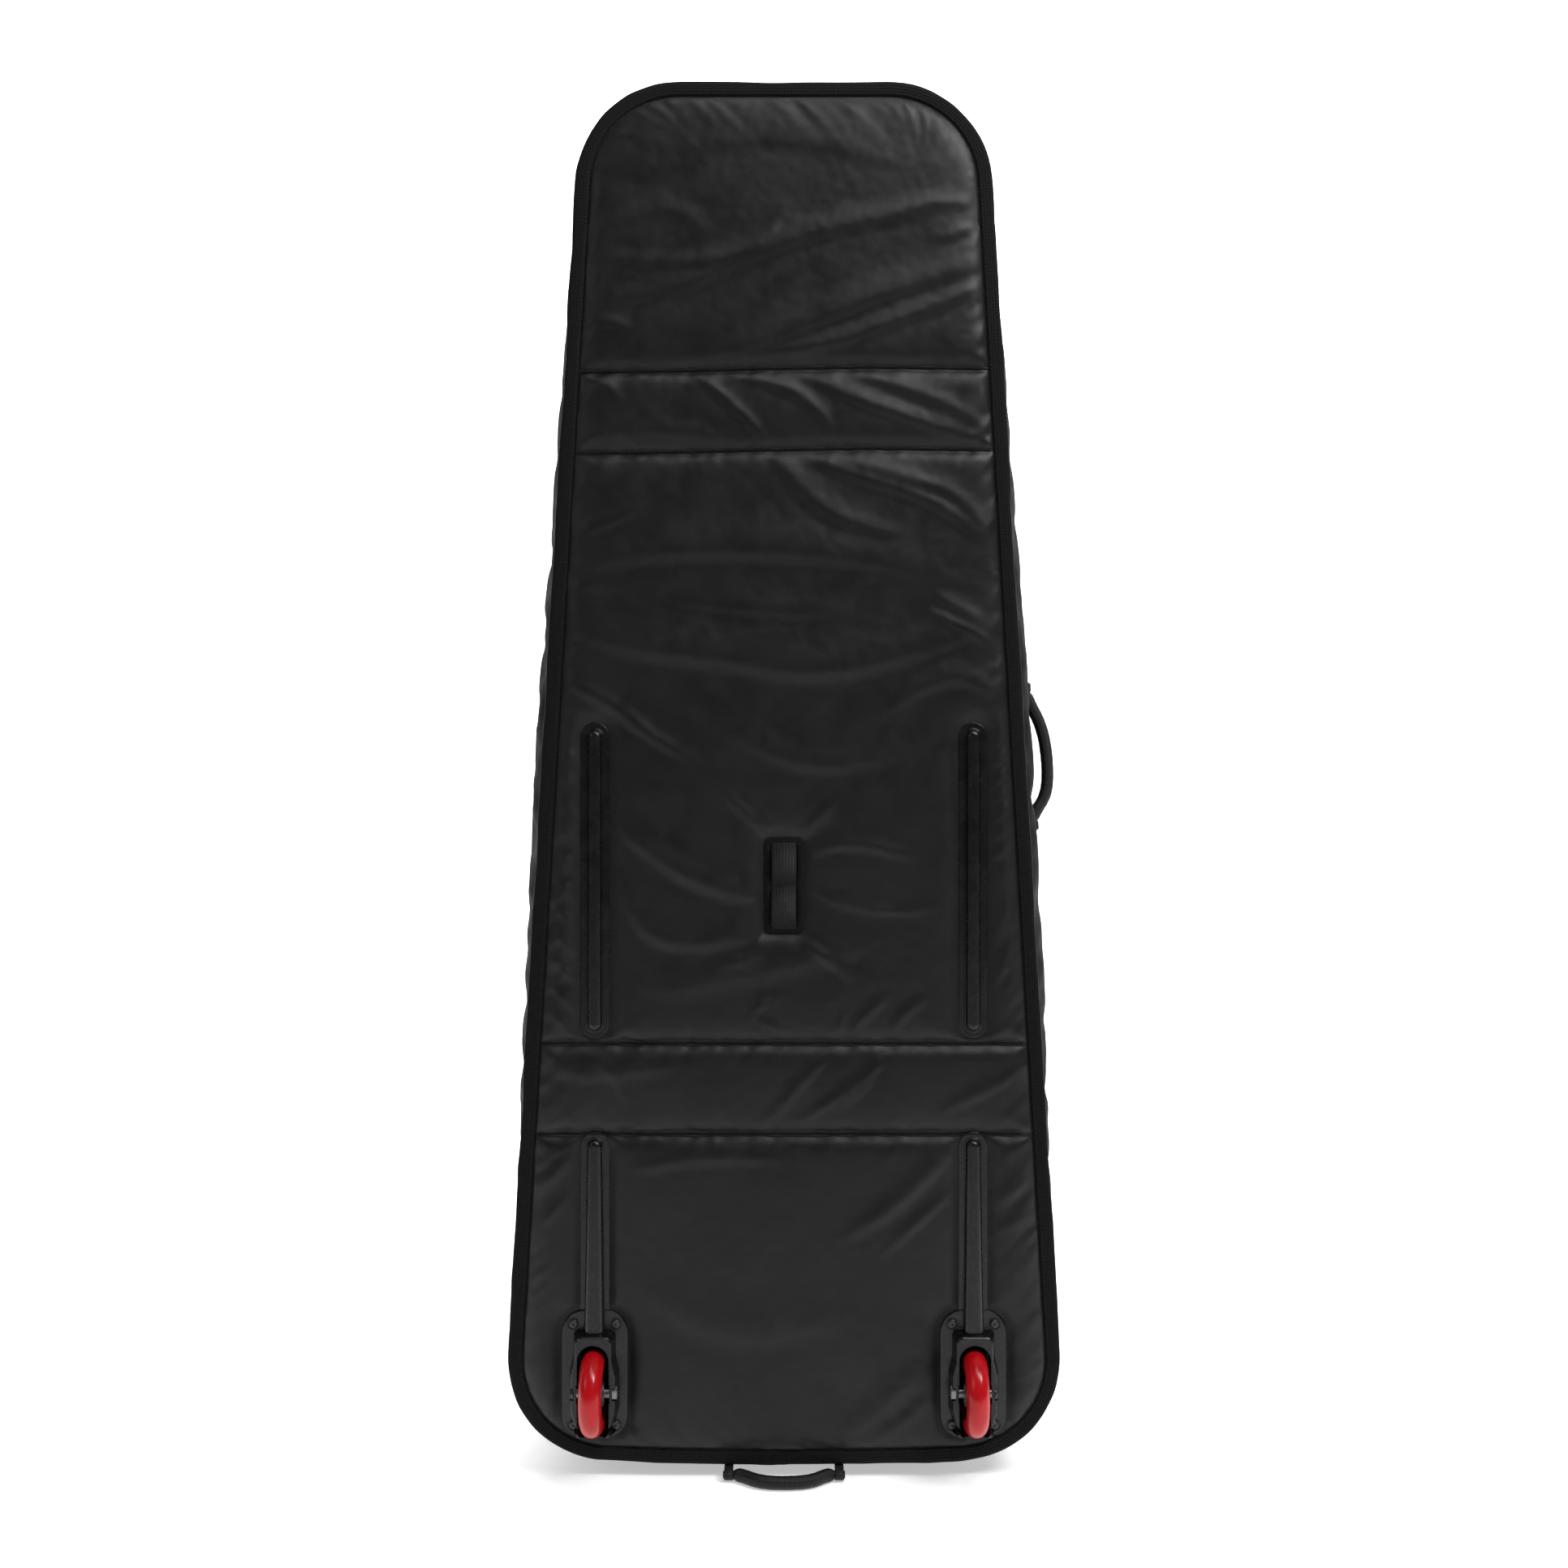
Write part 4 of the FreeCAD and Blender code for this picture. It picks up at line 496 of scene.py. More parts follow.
def padded_panel(name, facing, step, inset, holes, places, seams, folds, seed, back):
    """A quilted panel that faces -1 (the back) or 1 (the front).
    Its cloth is held at the edge, along the seams and under hard pieces."""
    half = [0.0, 290.0]
    if facing < 0:
        f, p = FLANGE_HALF + 1.6, PLATE_HALF + 1.6
        half = [0, 12, PATCH[0] / 2 + 1.5, TRACK - p, TRACK - f, TRACK, TRACK + f, TRACK + p, 290]
    xs = spaced([-v for v in half[:0:-1]] + half, step)
    stops = [LIFT, LENGTH + LIFT]
    for s in seams:
        stops += [s + LIFT + off for off in (-6, -3.4, -1.6, 0, 1.6, 3.4, 6)]
    if facing < 0:
        patch_half = PATCH[1] / 2 + 1.5
        stops += [PLATE_Z[0] - 2, PLATE_Z[1] + 2, PATCH[2] - patch_half, PATCH[2] + patch_half,
                  UPPER_RAIL[1] + LIFT + 1.5]
    zs = spaced(sorted(stops), step)
    pts, faces = panel_sheet(inset, xs, zs, holes)
    faces = [f if facing < 0 else f[::-1] for f in faces]
    x, z = pts[:, 0].copy(), pts[:, 1].copy()
    run, edge = nearest(pts, outline(inset, spacing=1.0))
    hard = np.min([rounded_box_gap(x, z, q) for q in places], axis=0) if places else np.full(len(x), 999.0)
    line = np.min([np.abs(z - s - LIFT) for s in seams], axis=0) if seams else np.full(len(x), 999.0)
    seam = 1.5 * np.maximum(line - 2.4, 0)
    edge_free = np.maximum(edge - 0.5, 0)
    free = np.maximum(np.minimum(np.minimum(edge_free, hard), seam), 0)
    puff = 7.0 * (1 - np.exp(-free / 8.0)) + 3.0 * (1 - np.exp(-free / 55.0))
    band = 1.3 * np.exp(-(line / 1.5) ** 2) * (np.minimum(edge_free, hard) > 3)
    inner = 1 - np.exp(-free / 9.0)
    shape = puff + band + 1.25 * creases(x, z, folds) * inner + 0.9 * soft_noise(x, z, 75, seed) * inner
    shape += 3.4 * gathers(run, edge_free, 9.5, 20.0, seed + 1, 0.9) * (edge_free > 0.4)
    if seams:
        shape += 2.4 * gathers(x, seam, 9.0, 15.0, seed + 2, 0.4) * (line < 60) * (seam > 0.2)
    plane = BACK_Y if facing < 0 else FRONT_Y
    z += bowed(x, z) if seams else 0
    verts = np.stack([x, plane + facing * (0.1 + np.maximum(shape, 0)), z], axis=1)
    hold = np.where(free <= 0.01, 1.0, 0.018)
    verts[:, 1] += facing * 0.3 * np.random.default_rng(seed).uniform(-1, 1, len(pts)) * (hold < 1)
    panel = mesh_piece(name, verts, faces, uv=pts)
    settle(panel, hold, spare=0.045, pressure=0.25, limit=4.5)
    co = points_of(panel)
    low, high = (plane - 17.0, plane + 0.1) if facing < 0 else (plane - 0.1, plane + 14.0)
    co[:, 1] = np.clip(co[:, 1], low, high)
    set_points(panel, co)
    subdivide(panel)
    return close_back(panel, back)


def close_back(obj, plane):
    """Gives an open sheet its turned edges and its flat back in the plane y."""
    bm = bmesh.new()
    bm.from_mesh(obj.data)
    open_edges = [e for e in bm.edges if len(e.link_faces) == 1]
    made = bmesh.ops.extrude_edge_only(bm, edges=open_edges)["geom"]
    back = [v for v in made if isinstance(v, bmesh.types.BMVert)]
    for v in back:
        v.co.y = plane * MM
    edges = [e for e in made if isinstance(e, bmesh.types.BMEdge)]
    bmesh.ops.triangle_fill(bm, use_beauty=False, use_dissolve=False, edges=edges, normal=(0, 1, 0))
    bmesh.ops.recalc_face_normals(bm, faces=bm.faces)
    loose = [e for e in bm.edges if len(e.link_faces) != 2]
    if loose:
        print("open edges left on", obj.name, len(loose))
    bm.to_mesh(obj.data)
    bm.free()
    obj.data.polygons.foreach_set("use_smooth", [True] * len(obj.data.polygons))
    return obj


# ------------------------------------------------------------------ materials
def material(name):
    mat = bpy.data.materials.new(name)
    mat.use_nodes = True
    nodes, links = mat.node_tree.nodes, mat.node_tree.links
    nodes.clear()
    out = nodes.new("ShaderNodeOutputMaterial")
    shader = nodes.new("ShaderNodeBsdfPrincipled")
    links.new(shader.outputs[0], out.inputs[0])
    return mat, nodes, links, shader


def pick(nodes, kind, **values):
    node = nodes.new(kind)
    for key, value in values.items():
        if hasattr(node, key):
            setattr(node, key, value)
        else:
            node.inputs[key.replace("_", " ")].default_value = value
    return node


def ramp(nodes, stops):
    node = nodes.new("ShaderNodeValToRGB")
    ends = node.color_ramp.elements
    ends[0].position, ends[0].color = stops[0]
    ends[1].position, ends[1].color = stops[-1]
    for place, colour in stops[1:-1]:
        ends.new(place).color = colour
    return node


def grey(v, warm=0.0):
    return (v * (1 + warm), v, v * (1 - warm), 1)


def coords(nodes, links, source, scale=(1, 1, 1)):
    tex = nodes.new("ShaderNodeTexCoord")
    mapping = nodes.new("ShaderNodeMapping")
    mapping.inputs["Scale"].default_value = scale
    links.new(tex.outputs[source], mapping.inputs["Vector"])
    return mapping.outputs["Vector"]


def woven_cloth(name, dark, light, rough, pitch=0.9, depth=0.2, crease=0.10, source="UV", sheen=0.05,
                gloss_level=0.3):
    """Plain-weave cloth: warp and weft ridges, fine crinkles and slightly uneven colour."""
    mat, nodes, links, shader = material(name)
    space = coords(nodes, links, source)
    waves = []
    for axis in ("X", "Y"):
        wave = nodes.new("ShaderNodeTexWave")
        wave.wave_type, wave.bands_direction, wave.wave_profile = "BANDS", axis, "SIN"
        wave.inputs["Scale"].default_value = 2 * math.pi * 50.0 / pitch
        wave.inputs["Distortion"].default_value = 0.4
        wave.inputs["Detail"].default_value = 0
        links.new(space, wave.inputs["Vector"])
        waves.append(wave)
    weave = pick(nodes, "ShaderNodeMath", operation="MULTIPLY")
    links.new(waves[0].outputs["Fac"], weave.inputs[0])
    links.new(waves[1].outputs["Fac"], weave.inputs[1])
    crinkle = pick(nodes, "ShaderNodeTexNoise", Scale=34.0, Detail=4.0, Roughness=0.45, Distortion=0.6)
    links.new(space, crinkle.inputs["Vector"])
    cloud = pick(nodes, "ShaderNodeTexNoise", Scale=9.0, Detail=3.0, Roughness=0.5)
    links.new(space, cloud.inputs["Vector"])
    shade = ramp(nodes, [(0.3, grey(dark)), (0.72, grey(light))])
    links.new(cloud.outputs["Fac"], shade.inputs["Fac"])
    links.new(shade.outputs["Color"], shader.inputs["Base Color"])
    gloss = ramp(nodes, [(0.25, grey(rough - 0.08)), (0.75, grey(rough + 0.1))])
    links.new(crinkle.outputs["Fac"], gloss.inputs["Fac"])
    links.new(gloss.outputs["Color"], shader.inputs["Roughness"])
    big = pick(nodes, "ShaderNodeBump", Strength=crease, Distance=0.0025)
    links.new(crinkle.outputs["Fac"], big.inputs["Height"])
    fine = pick(nodes, "ShaderNodeBump", Strength=depth, Distance=0.0004)
    links.new(weave.outputs[0], fine.inputs["Height"])
    links.new(big.outputs["Normal"], fine.inputs["Normal"])
    links.new(fine.outputs["Normal"], shader.inputs["Normal"])
    shader.inputs["Sheen Weight"].default_value = sheen
    shader.inputs["Sheen Roughness"].default_value = 0.4
    shader.inputs["Specular IOR Level"].default_value = gloss_level
    return mat


def ribbed_webbing(name, dark, light, rough=0.62, rib=2.0, source="UV", gloss_level=0.3):
    """Webbing: cross ribs along its length with a few lengthwise bands; its colour is darker in the grooves
    between ribs, painted shade.
    """
    mat, nodes, links, shader = material(name)
    space = coords(nodes, links, source)
    ribs = nodes.new("ShaderNodeTexWave")
    ribs.wave_type, ribs.bands_direction = "BANDS", "X"
    ribs.inputs["Scale"].default_value = 2 * math.pi * 50.0 / rib
    ribs.inputs["Distortion"].default_value = 0.6
    bands = nodes.new("ShaderNodeTexWave")
    bands.wave_type, bands.bands_direction = "BANDS", "Y"
    bands.inputs["Scale"].default_value = 2 * math.pi * 50.0 / 3.2
    for node in (ribs, bands):
        links.new(space, node.inputs["Vector"])
    height = pick(nodes, "ShaderNodeMath", operation="ADD")
    links.new(ribs.outputs["Fac"], height.inputs[0])
    links.new(bands.outputs["Fac"], height.inputs[1])
    # painted shade: the colour follows the ribs, darker in their grooves and lighter on their crests
    shade = ramp(nodes, [(0.2, grey(dark)), (0.9, grey(light))])
    links.new(ribs.outputs["Fac"], shade.inputs["Fac"])
    links.new(shade.outputs["Color"], shader.inputs["Base Color"])
    bump = pick(nodes, "ShaderNodeBump", Strength=0.5, Distance=0.0006)
    links.new(height.outputs[0], bump.inputs["Height"])
    links.new(bump.outputs["Normal"], shader.inputs["Normal"])
    shader.inputs["Roughness"].default_value = rough
    shader.inputs["Sheen Weight"].default_value = 0.04
    shader.inputs["Specular IOR Level"].default_value = gloss_level
    return mat


def moulded_plastic(name, dark, light, rough, grain=0.08, edge=0.8, gloss_level=0.5):
    """Moulded plastic with a fine grain and small scuffs."""
    mat, nodes, links, shader = material(name)
    space = coords(nodes, links, "Object")
    grain_tex = pick(nodes, "ShaderNodeTexNoise", Scale=900.0, Detail=2.0)
    scuff = pick(nodes, "ShaderNodeTexNoise", Scale=38.0, Detail=6.0, Roughness=0.65)
    for node in (grain_tex, scuff):
        links.new(space, node.inputs["Vector"])
    shade = ramp(nodes, [(0.35, grey(dark)), (0.75, grey(light))])
    links.new(scuff.outputs["Fac"], shade.inputs["Fac"])
    links.new(shade.outputs["Color"], shader.inputs["Base Color"])
    gloss = ramp(nodes, [(0.3, grey(rough - 0.06)), (0.7, grey(rough + 0.12))])
    links.new(scuff.outputs["Fac"], gloss.inputs["Fac"])
    links.new(gloss.outputs["Color"], shader.inputs["Roughness"])
    soft_edge = nodes.new("ShaderNodeBevel")
    soft_edge.samples = 4
    soft_edge.inputs["Radius"].default_value = edge * MM
    bump = pick(nodes, "ShaderNodeBump", Strength=grain, Distance=0.0004)
    links.new(grain_tex.outputs["Fac"], bump.inputs["Height"])
    links.new(soft_edge.outputs["Normal"], bump.inputs["Normal"])
    links.new(bump.outputs["Normal"], shader.inputs["Normal"])
    shader.inputs["Specular IOR Level"].default_value = gloss_level
    return mat


def metal(name, colour, rough, metallic=1.0):
    """Bare or blackened metal with faint brushing and handling marks."""
    mat, nodes, links, shader = material(name)
    space = coords(nodes, links, "Object")
    marks = pick(nodes, "ShaderNodeTexNoise", Scale=240.0, Detail=4.0, Roughness=0.6)
    links.new(space, marks.inputs["Vector"])
    gloss = ramp(nodes, [(0.3, grey(rough - 0.05)), (0.7, grey(rough + 0.1))])
    links.new(marks.outputs["Fac"], gloss.inputs["Fac"])
    links.new(gloss.outputs["Color"], shader.inputs["Roughness"])
    tone = ramp(nodes, [(0.3, tuple(c * 0.85 for c in colour) + (1,)), (0.7, tuple(colour) + (1,))])
    links.new(marks.outputs["Fac"], tone.inputs["Fac"])
    links.new(tone.outputs["Color"], shader.inputs["Base Color"])
    shader.inputs["Metallic"].default_value = metallic
    return mat


def urethane(name):
    """Clear-looking cast red urethane with a glossy skin."""
    mat, nodes, links, shader = material(name)
    space = coords(nodes, links, "Object")
    cloud = pick(nodes, "ShaderNodeTexNoise", Scale=60.0, Detail=3.0)
    links.new(space, cloud.inputs["Vector"])
    shade = ramp(nodes, [(0.3, (0.40, 0.003, 0.006, 1)), (0.75, (0.52, 0.005, 0.009, 1))])
    links.new(cloud.outputs["Fac"], shade.inputs["Fac"])
    links.new(shade.outputs["Color"], shader.inputs["Base Color"])
    gloss = ramp(nodes, [(0.3, grey(0.16)), (0.75, grey(0.26))])
    links.new(cloud.outputs["Fac"], gloss.inputs["Fac"])
    links.new(gloss.outputs["Color"], shader.inputs["Roughness"])
    shader.inputs["Subsurface Weight"].default_value = 0.1
    shader.inputs["Subsurface Radius"].default_value = (0.006, 0.0006, 0.0006)
    shader.inputs["Subsurface Scale"].default_value = 1.0
    shader.inputs["Coat Weight"].default_value = 0.08
    shader.inputs["Specular IOR Level"].default_value = 0.32
    shader.inputs["Coat Roughness"].default_value = 0.12
    return mat


NYLON = woven_cloth("black nylon", 0.0044, 0.0068, 0.42)
LINING = woven_cloth("grey lining", 0.035, 0.05, 0.7, pitch=0.7)
TAPE_WEB = ribbed_webbing("binding tape", 0.0022, 0.0042, rough=0.7, rib=2.0, gloss_level=0.12)
WEBBING = ribbed_webbing("black webbing", 0.0035, 0.007, rough=0.5, rib=1.9, gloss_level=0.3)
LOOP_WEB = ribbed_webbing("satin webbing", 0.0045, 0.0085, rough=0.5, rib=1.3, gloss_level=0.22)
# The walls' cloth is the black nylon in a darker colour: painted shade, so the side walls read darker than
# the panels. Its low gloss and missing sheen are surface settings.
SHADED_WALL_CLOTH = woven_cloth("black wall cloth", 0.0036, 0.0052, 0.66, crease=0.06, sheen=0.0, gloss_level=0.06)
THREAD = woven_cloth("black thread", 0.004, 0.007, 0.6, pitch=0.3, crease=0.05, source="Object")
RAIL = moulded_plastic("rail plastic", 0.0035, 0.005, 0.24, grain=0.0, edge=1.3, gloss_level=0.4)
HOUSING = moulded_plastic("housing plastic", 0.0035, 0.005, 0.27, grain=0.0, edge=1.3, gloss_level=0.4)
BOARD = moulded_plastic("stiffener plastic", 0.03, 0.045, 0.5)
CORE = moulded_plastic("wheel core plastic", 0.01, 0.016, 0.35)
COIL = moulded_plastic("zip coil nylon", 0.008, 0.014, 0.35)
BLACK_STEEL = metal("blackened steel", (0.06, 0.06, 0.062), 0.36, metallic=0.9)
BRIGHT_STEEL = metal("zinc steel", (0.22, 0.22, 0.225), 0.3)
ALUMINIUM = metal("plate aluminium", (0.6, 0.6, 0.61), 0.4)
SLIDER_METAL = metal("slider metal", (0.045, 0.045, 0.047), 0.35, metallic=0.8)
URETHANE = urethane("red urethane")

CAD_FINISHES = {
    "upper_rail": RAIL, "lower_rail": RAIL, "wheel_housing": HOUSING, "housing_screws": BLACK_STEEL,
    "backing_plate": ALUMINIUM, "housing_nuts": BRIGHT_STEEL, "wheel_tyre": URETHANE, "wheel_core": CORE,
    "wheel_bearings": BRIGHT_STEEL, "bearing_inner_races": BRIGHT_STEEL, "axle_spacers": BRIGHT_STEEL,
    "axle_bolt": BLACK_STEEL, "axle_nut": BRIGHT_STEEL, "rail_screws": BLACK_STEEL,
    "zip_slider": SLIDER_METAL, "zip_pull": SLIDER_METAL, "stiffener_boards": BOARD,
}


def finish_hard_pieces():
    """Materials for the pieces that the CAD shows as they are."""
    for name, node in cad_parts.items():
        for stem, mat in CAD_FINISHES.items():
            if name.startswith(stem):
                node.data.materials.clear()
                node.data.materials.append(mat)


# ------------------------------------------------------------------ what repeats
def repeat_tree():
    """Nodes that set one small piece along sewn lines, facing out from the cloth."""
    tree = bpy.data.node_groups.new("Repeat along lines", "GeometryNodeTree")
    for label, kind in (("Lines", "Geometry"), ("Piece", "Object"), ("Spacing", "Float"),
                        ("Unevenness", "Vector"), ("Seed", "Int"), ("Finish", "Material")):
        tree.interface.new_socket(name=label, in_out="INPUT", socket_type="NodeSocket" + kind)
    tree.interface.new_socket(name="Pieces", in_out="OUTPUT", socket_type="NodeSocketGeometry")
    new, link = tree.nodes.new, tree.links.new
    given, result = new("NodeGroupInput"), new("NodeGroupOutput")
    curve, even = new("GeometryNodeMeshToCurve"), new("GeometryNodeResampleCurve")
    even.mode = "LENGTH"
    tangent, out = new("GeometryNodeInputTangent"), new("GeometryNodeInputNamedAttribute")
    out.data_type = "FLOAT_VECTOR"
    out.inputs["Name"].default_value = "out"
    lie, stand = new("FunctionNodeAlignRotationToVector"), new("FunctionNodeAlignRotationToVector")
    lie.axis, stand.axis, stand.pivot_axis = "X", "Y", "X"
    vary = new("FunctionNodeRandomValue")
    vary.data_type = "FLOAT_VECTOR"
    vary.inputs[1].default_value = (1.0, 1.0, 1.0)
    info, place = new("GeometryNodeObjectInfo"), new("GeometryNodeInstanceOnPoints")
    real, finish = new("GeometryNodeRealizeInstances"), new("GeometryNodeSetMaterial")
    link(given.outputs["Lines"], curve.inputs[0])
    link(curve.outputs[0], even.inputs["Curve"])
    link(given.outputs["Spacing"], even.inputs["Length"])
    link(even.outputs[0], place.inputs["Points"])
    link(given.outputs["Piece"], info.inputs["Object"])
    link(info.outputs["Geometry"], place.inputs["Instance"])
    link(tangent.outputs[0], lie.inputs["Vector"])
    link(lie.outputs[0], stand.inputs["Rotation"])
    link(out.outputs[0], stand.inputs["Vector"])
    link(stand.outputs[0], place.inputs["Rotation"])
    link(given.outputs["Unevenness"], vary.inputs[0])
    link(given.outputs["Seed"], vary.inputs["Seed"])
    link(vary.outputs[0], place.inputs["Scale"])
    link(place.outputs[0], real.inputs[0])
    link(real.outputs[0], finish.inputs["Geometry"])
    link(given.outputs["Finish"], finish.inputs["Material"])
    link(finish.outputs[0], result.inputs[0])
    return tree


REPEAT = repeat_tree()


def repeat_along(name, lines, piece, spacing, mat, unevenness=(0.85, 0.9, 0.9), seed=1):
    """One mesh of small pieces along lines, each given as (points, outward directions) in millimetres."""
    verts, edges, outs = [], [], []
    for points, out in lines:
        base = len(verts)
        verts += (np.asarray(points, float) * MM).tolist()
        outs += np.broadcast_to(np.asarray(out, float), np.shape(points)).tolist()
        edges += [(base + i, base + i + 1) for i in range(len(points) - 1)]
    mesh = bpy.data.meshes.new(name)
    mesh.from_pydata(verts, edges, [])
    mesh.attributes.new("out", "FLOAT_VECTOR", "POINT").data.foreach_set("vector", np.ravel(outs))
    obj = bpy.data.objects.new(name, mesh)
    bpy.context.scene.collection.objects.link(obj)
    mod = obj.modifiers.new("Repeat", "NODES")
    mod.node_group = REPEAT
    given = {"Piece": piece, "Spacing": spacing * MM, "Unevenness": unevenness, "Seed": seed, "Finish": mat}
    for item in REPEAT.interface.items_tree:
        if item.name in given:
            mod[item.identifier] = given[item.name]
    bpy.context.view_layer.update()
    bake_modifiers(obj)
    if "out" in obj.data.attributes:
        obj.data.attributes.remove(obj.data.attributes["out"])
    obj.data.polygons.foreach_set("use_smooth", [True] * len(obj.data.polygons))
    return obj


def small_piece(name, size, kind):
    """A stitch or a zip tooth about the origin: length along x, height along y, width along z."""
    bm = bmesh.new()
    if kind == "stitch":
        bmesh.ops.create_uvsphere(bm, u_segments=6, v_segments=4, radius=0.5)
        bmesh.ops.rotate(bm, verts=bm.verts, matrix=Matrix.Rotation(math.pi / 2, 3, "Y"))
    else:
        bmesh.ops.create_cube(bm, size=1.0)
    bmesh.ops.scale(bm, verts=bm.verts, vec=[v * MM for v in size])
    if kind != "stitch":
        bmesh.ops.bevel(bm, geom=list(bm.edges), offset=0.35 * min(size) * MM, segments=1, affect="EDGES")
    mesh = bpy.data.meshes.new(name)
    bm.to_mesh(mesh)
    bm.free()
    obj = bpy.data.objects.new(name, mesh)
    bpy.context.scene.collection.objects.link(obj)
    return obj


def join(name, pieces):
    """Several meshes as one piece."""
    with bpy.context.temp_override(active_object=pieces[0], selected_editable_objects=pieces):
        bpy.ops.object.join()
    pieces[0].name = pieces[0].data.name = name
    return pieces[0]


# ------------------------------------------------------------------ walls
SIDE_Z = (133.76, 1390.36)
SIDE_TABS_Z = (706.0, 843.0)     # where the handles' tabs hold the wall flat
NOSE_TABS_X, NOSE_TABS_Y = (-80.0, 80.0), -18.0
TAB_HALF, TAB_SIDE = 19.0, 14.5


def side_bulge(z):
    """How far the long walls stand out at a height."""
    share = np.clip((z - SIDE_Z[0]) / (SIDE_Z[1] - SIDE_Z[0]), 0, 1)
    return BULGE * np.sin(math.pi * share)


def wall(name, y0, y1, flat_from, swell, step, seed, simulate, fullness):
    """A closed band of padded cloth round the outline, flat where the zip and the handles are sewn."""
    ring = outline(WALL_OUT, spacing=step)
    out = outward(ring)
    run = np.r_[0, np.cumsum(np.linalg.norm(np.diff(ring, axis=0), axis=1))]
    ys = spaced([y0, flat_from, y1] if flat_from < y1 else [y0, y1], step)
    n, m = len(ring), len(ys)
    S, Y = np.meshgrid(run, ys, indexing="ij")
    X, Z = np.repeat(ring[:, 0:1], m, 1), np.repeat(ring[:, 1:2], m, 1)
    middle, half = (y0 + flat_from) / 2, (flat_from - y0) / 2
    t = np.clip(np.abs(Y - middle) / half, 0, 1)
    side = np.abs(out[:, 0:1]) > 0.97
    sewn = np.full(X.shape, 999.0)
    for z_tab in SIDE_TABS_Z:
        gap = np.hypot(np.maximum(np.abs(Z - z_tab) - TAB_HALF, 0), np.maximum(np.abs(Y) - TAB_SIDE, 0))
        sewn = np.where(X > 0, np.minimum(sewn, np.where(side, gap, 999)), sewn)
    for x_tab in NOSE_TABS_X:
        gap = np.hypot(np.maximum(np.abs(X - x_tab) - TAB_HALF - 1, 0),
                       np.maximum(np.abs(Y - NOSE_TABS_Y) - TAB_SIDE, 0))
        sewn = np.where(Z > 1480, np.minimum(sewn, gap), sewn)
    pad = np.hypot(np.maximum(np.abs(X) - 151, 0), np.maximum(np.abs(Y - 3) - 56, 0))
    sewn = np.where(Z < 40, np.minimum(sewn, pad), sewn)
    open_ = 1 - np.exp(-(sewn / 26.0) ** 2)
    stand = np.where(side, side_bulge(Z), 0) * fullness
    tight = stand * (1 - t ** 2)
    full = stand * (1 - t ** 3.2) + swell * (1 - t ** 4)
    puckers = gathers(S.ravel(), (Y - y0).ravel(), 11, 14, seed + 1).reshape(X.shape)
    wrinkle = 0.8 * soft_noise(S + 0.6 * Y, Y * 0.7, 48, seed) + 0.5 * puckers
    bulge = tight * (1 - open_) + full * open_ + wrinkle * (1 - t ** 6) * open_ * min(1.0, swell / 2)
    verts = np.stack([X + out[:, 0:1] * bulge, Y, Z + out[:, 1:2] * bulge], -1).reshape(-1, 3)
    index = np.arange(n * m).reshape(n, m)
    nxt = np.roll(index, -1, axis=0)
    faces = np.stack([index[:, :-1], index[:, 1:], nxt[:, 1:], nxt[:, :-1]], -1).reshape(-1, 4)
    obj = mesh_piece(name, verts, faces, uv=np.stack([S, Y], -1).reshape(-1, 2))
    if simulate:
        hold = np.where((t >= 1) | (Y >= flat_from - 0.1) | (sewn < 2), 1.0, 0.04).ravel()
        settle(obj, hold, spare=0.02, pressure=0.15, limit=3.0)
    subdivide(obj)
    mod = obj.modifiers.new("Wall", "SOLIDIFY")
    mod.thickness, mod.offset = WALL_THICK * MM, -1.0
    bake_modifiers(obj)
    return obj


def binding(name, facing, seed):
    """The folded tape round a panel's edge, a little uneven."""
    ring = outline(0.0, spacing=6.0)
    out = outward(ring)
    n = len(ring)
    base = BACK_Y + 3.0 if facing < 0 else FRONT_Y - 3.0
    s = np.arange(n) * 6.0
    path = np.stack([ring[:, 0], np.full(n, base), ring[:, 1]], 1)
    u = np.stack([-out[:, 0], np.zeros(n), -out[:, 1]], 1)
    v = np.tile([0.0, float(facing), 0.0], (n, 1))
    wave = soft_noise(s, s * 0, 55, seed) * 0.9 + soft_noise(s, s * 0, 17, seed + 1) * 0.35
    wave[0] = wave[-1] = 0
    lift = soft_noise(s, s * 0, 21, seed + 2) * 0.25
    thin = 4.5

    def section(i):
        w, h = wave[i], lift[i]
        rolled = [(1.3, 0), (0.3 + w * 0.4, 1.1), (w, 2.3), (0.5 + w, 3.6), (2.0 + w * 0.6, thin + h * 0.5)]
        flat = [(5.0, thin + 0.3 + h), (8.5, thin + 0.15 + h), (12.2, thin + 0.2 + h), (14.6, thin - 0.1 + h)]
        return rolled + flat + [(15.8, thin - 0.8), (TAPE, 3.2), (TAPE, 0)]
    return sweep(name, path, u, v, section, closed=True)


def liner(name, inset, face_y, back_y, facing, holes):
    """The quilted lining inside a panel."""
    step = 9.0
    xs = spaced([-290.0, -TRACK - 21, -TRACK + 21, 0, TRACK - 21, TRACK + 21, 290.0], step)
    zs = spaced([LIFT, 43.0, 158.0] + [q + LIFT for q in SEAMS] + [LENGTH + LIFT], step)
    pts, faces = panel_sheet(inset, xs, zs, holes)
    faces = [f if facing < 0 else f[::-1] for f in faces]
    x, z = pts[:, 0], pts[:, 1]
    _, edge = nearest(pts, outline(inset, spacing=2.0))
    line = np.min([np.abs(z - q - LIFT) for q in SEAMS], axis=0)
    dip = 1.5 * np.exp(-line / 7.0) + 1.2 * np.exp(-edge / 9.0) + 0.25 * (1 + soft_noise(x, z, 40, 8))
    y = face_y - facing * np.minimum(dip, 2.2)
    obj = mesh_piece(name, np.stack([x, y, z], 1), faces, uv=pts)
    subdivide(obj)
    return close_back(obj, back_y)


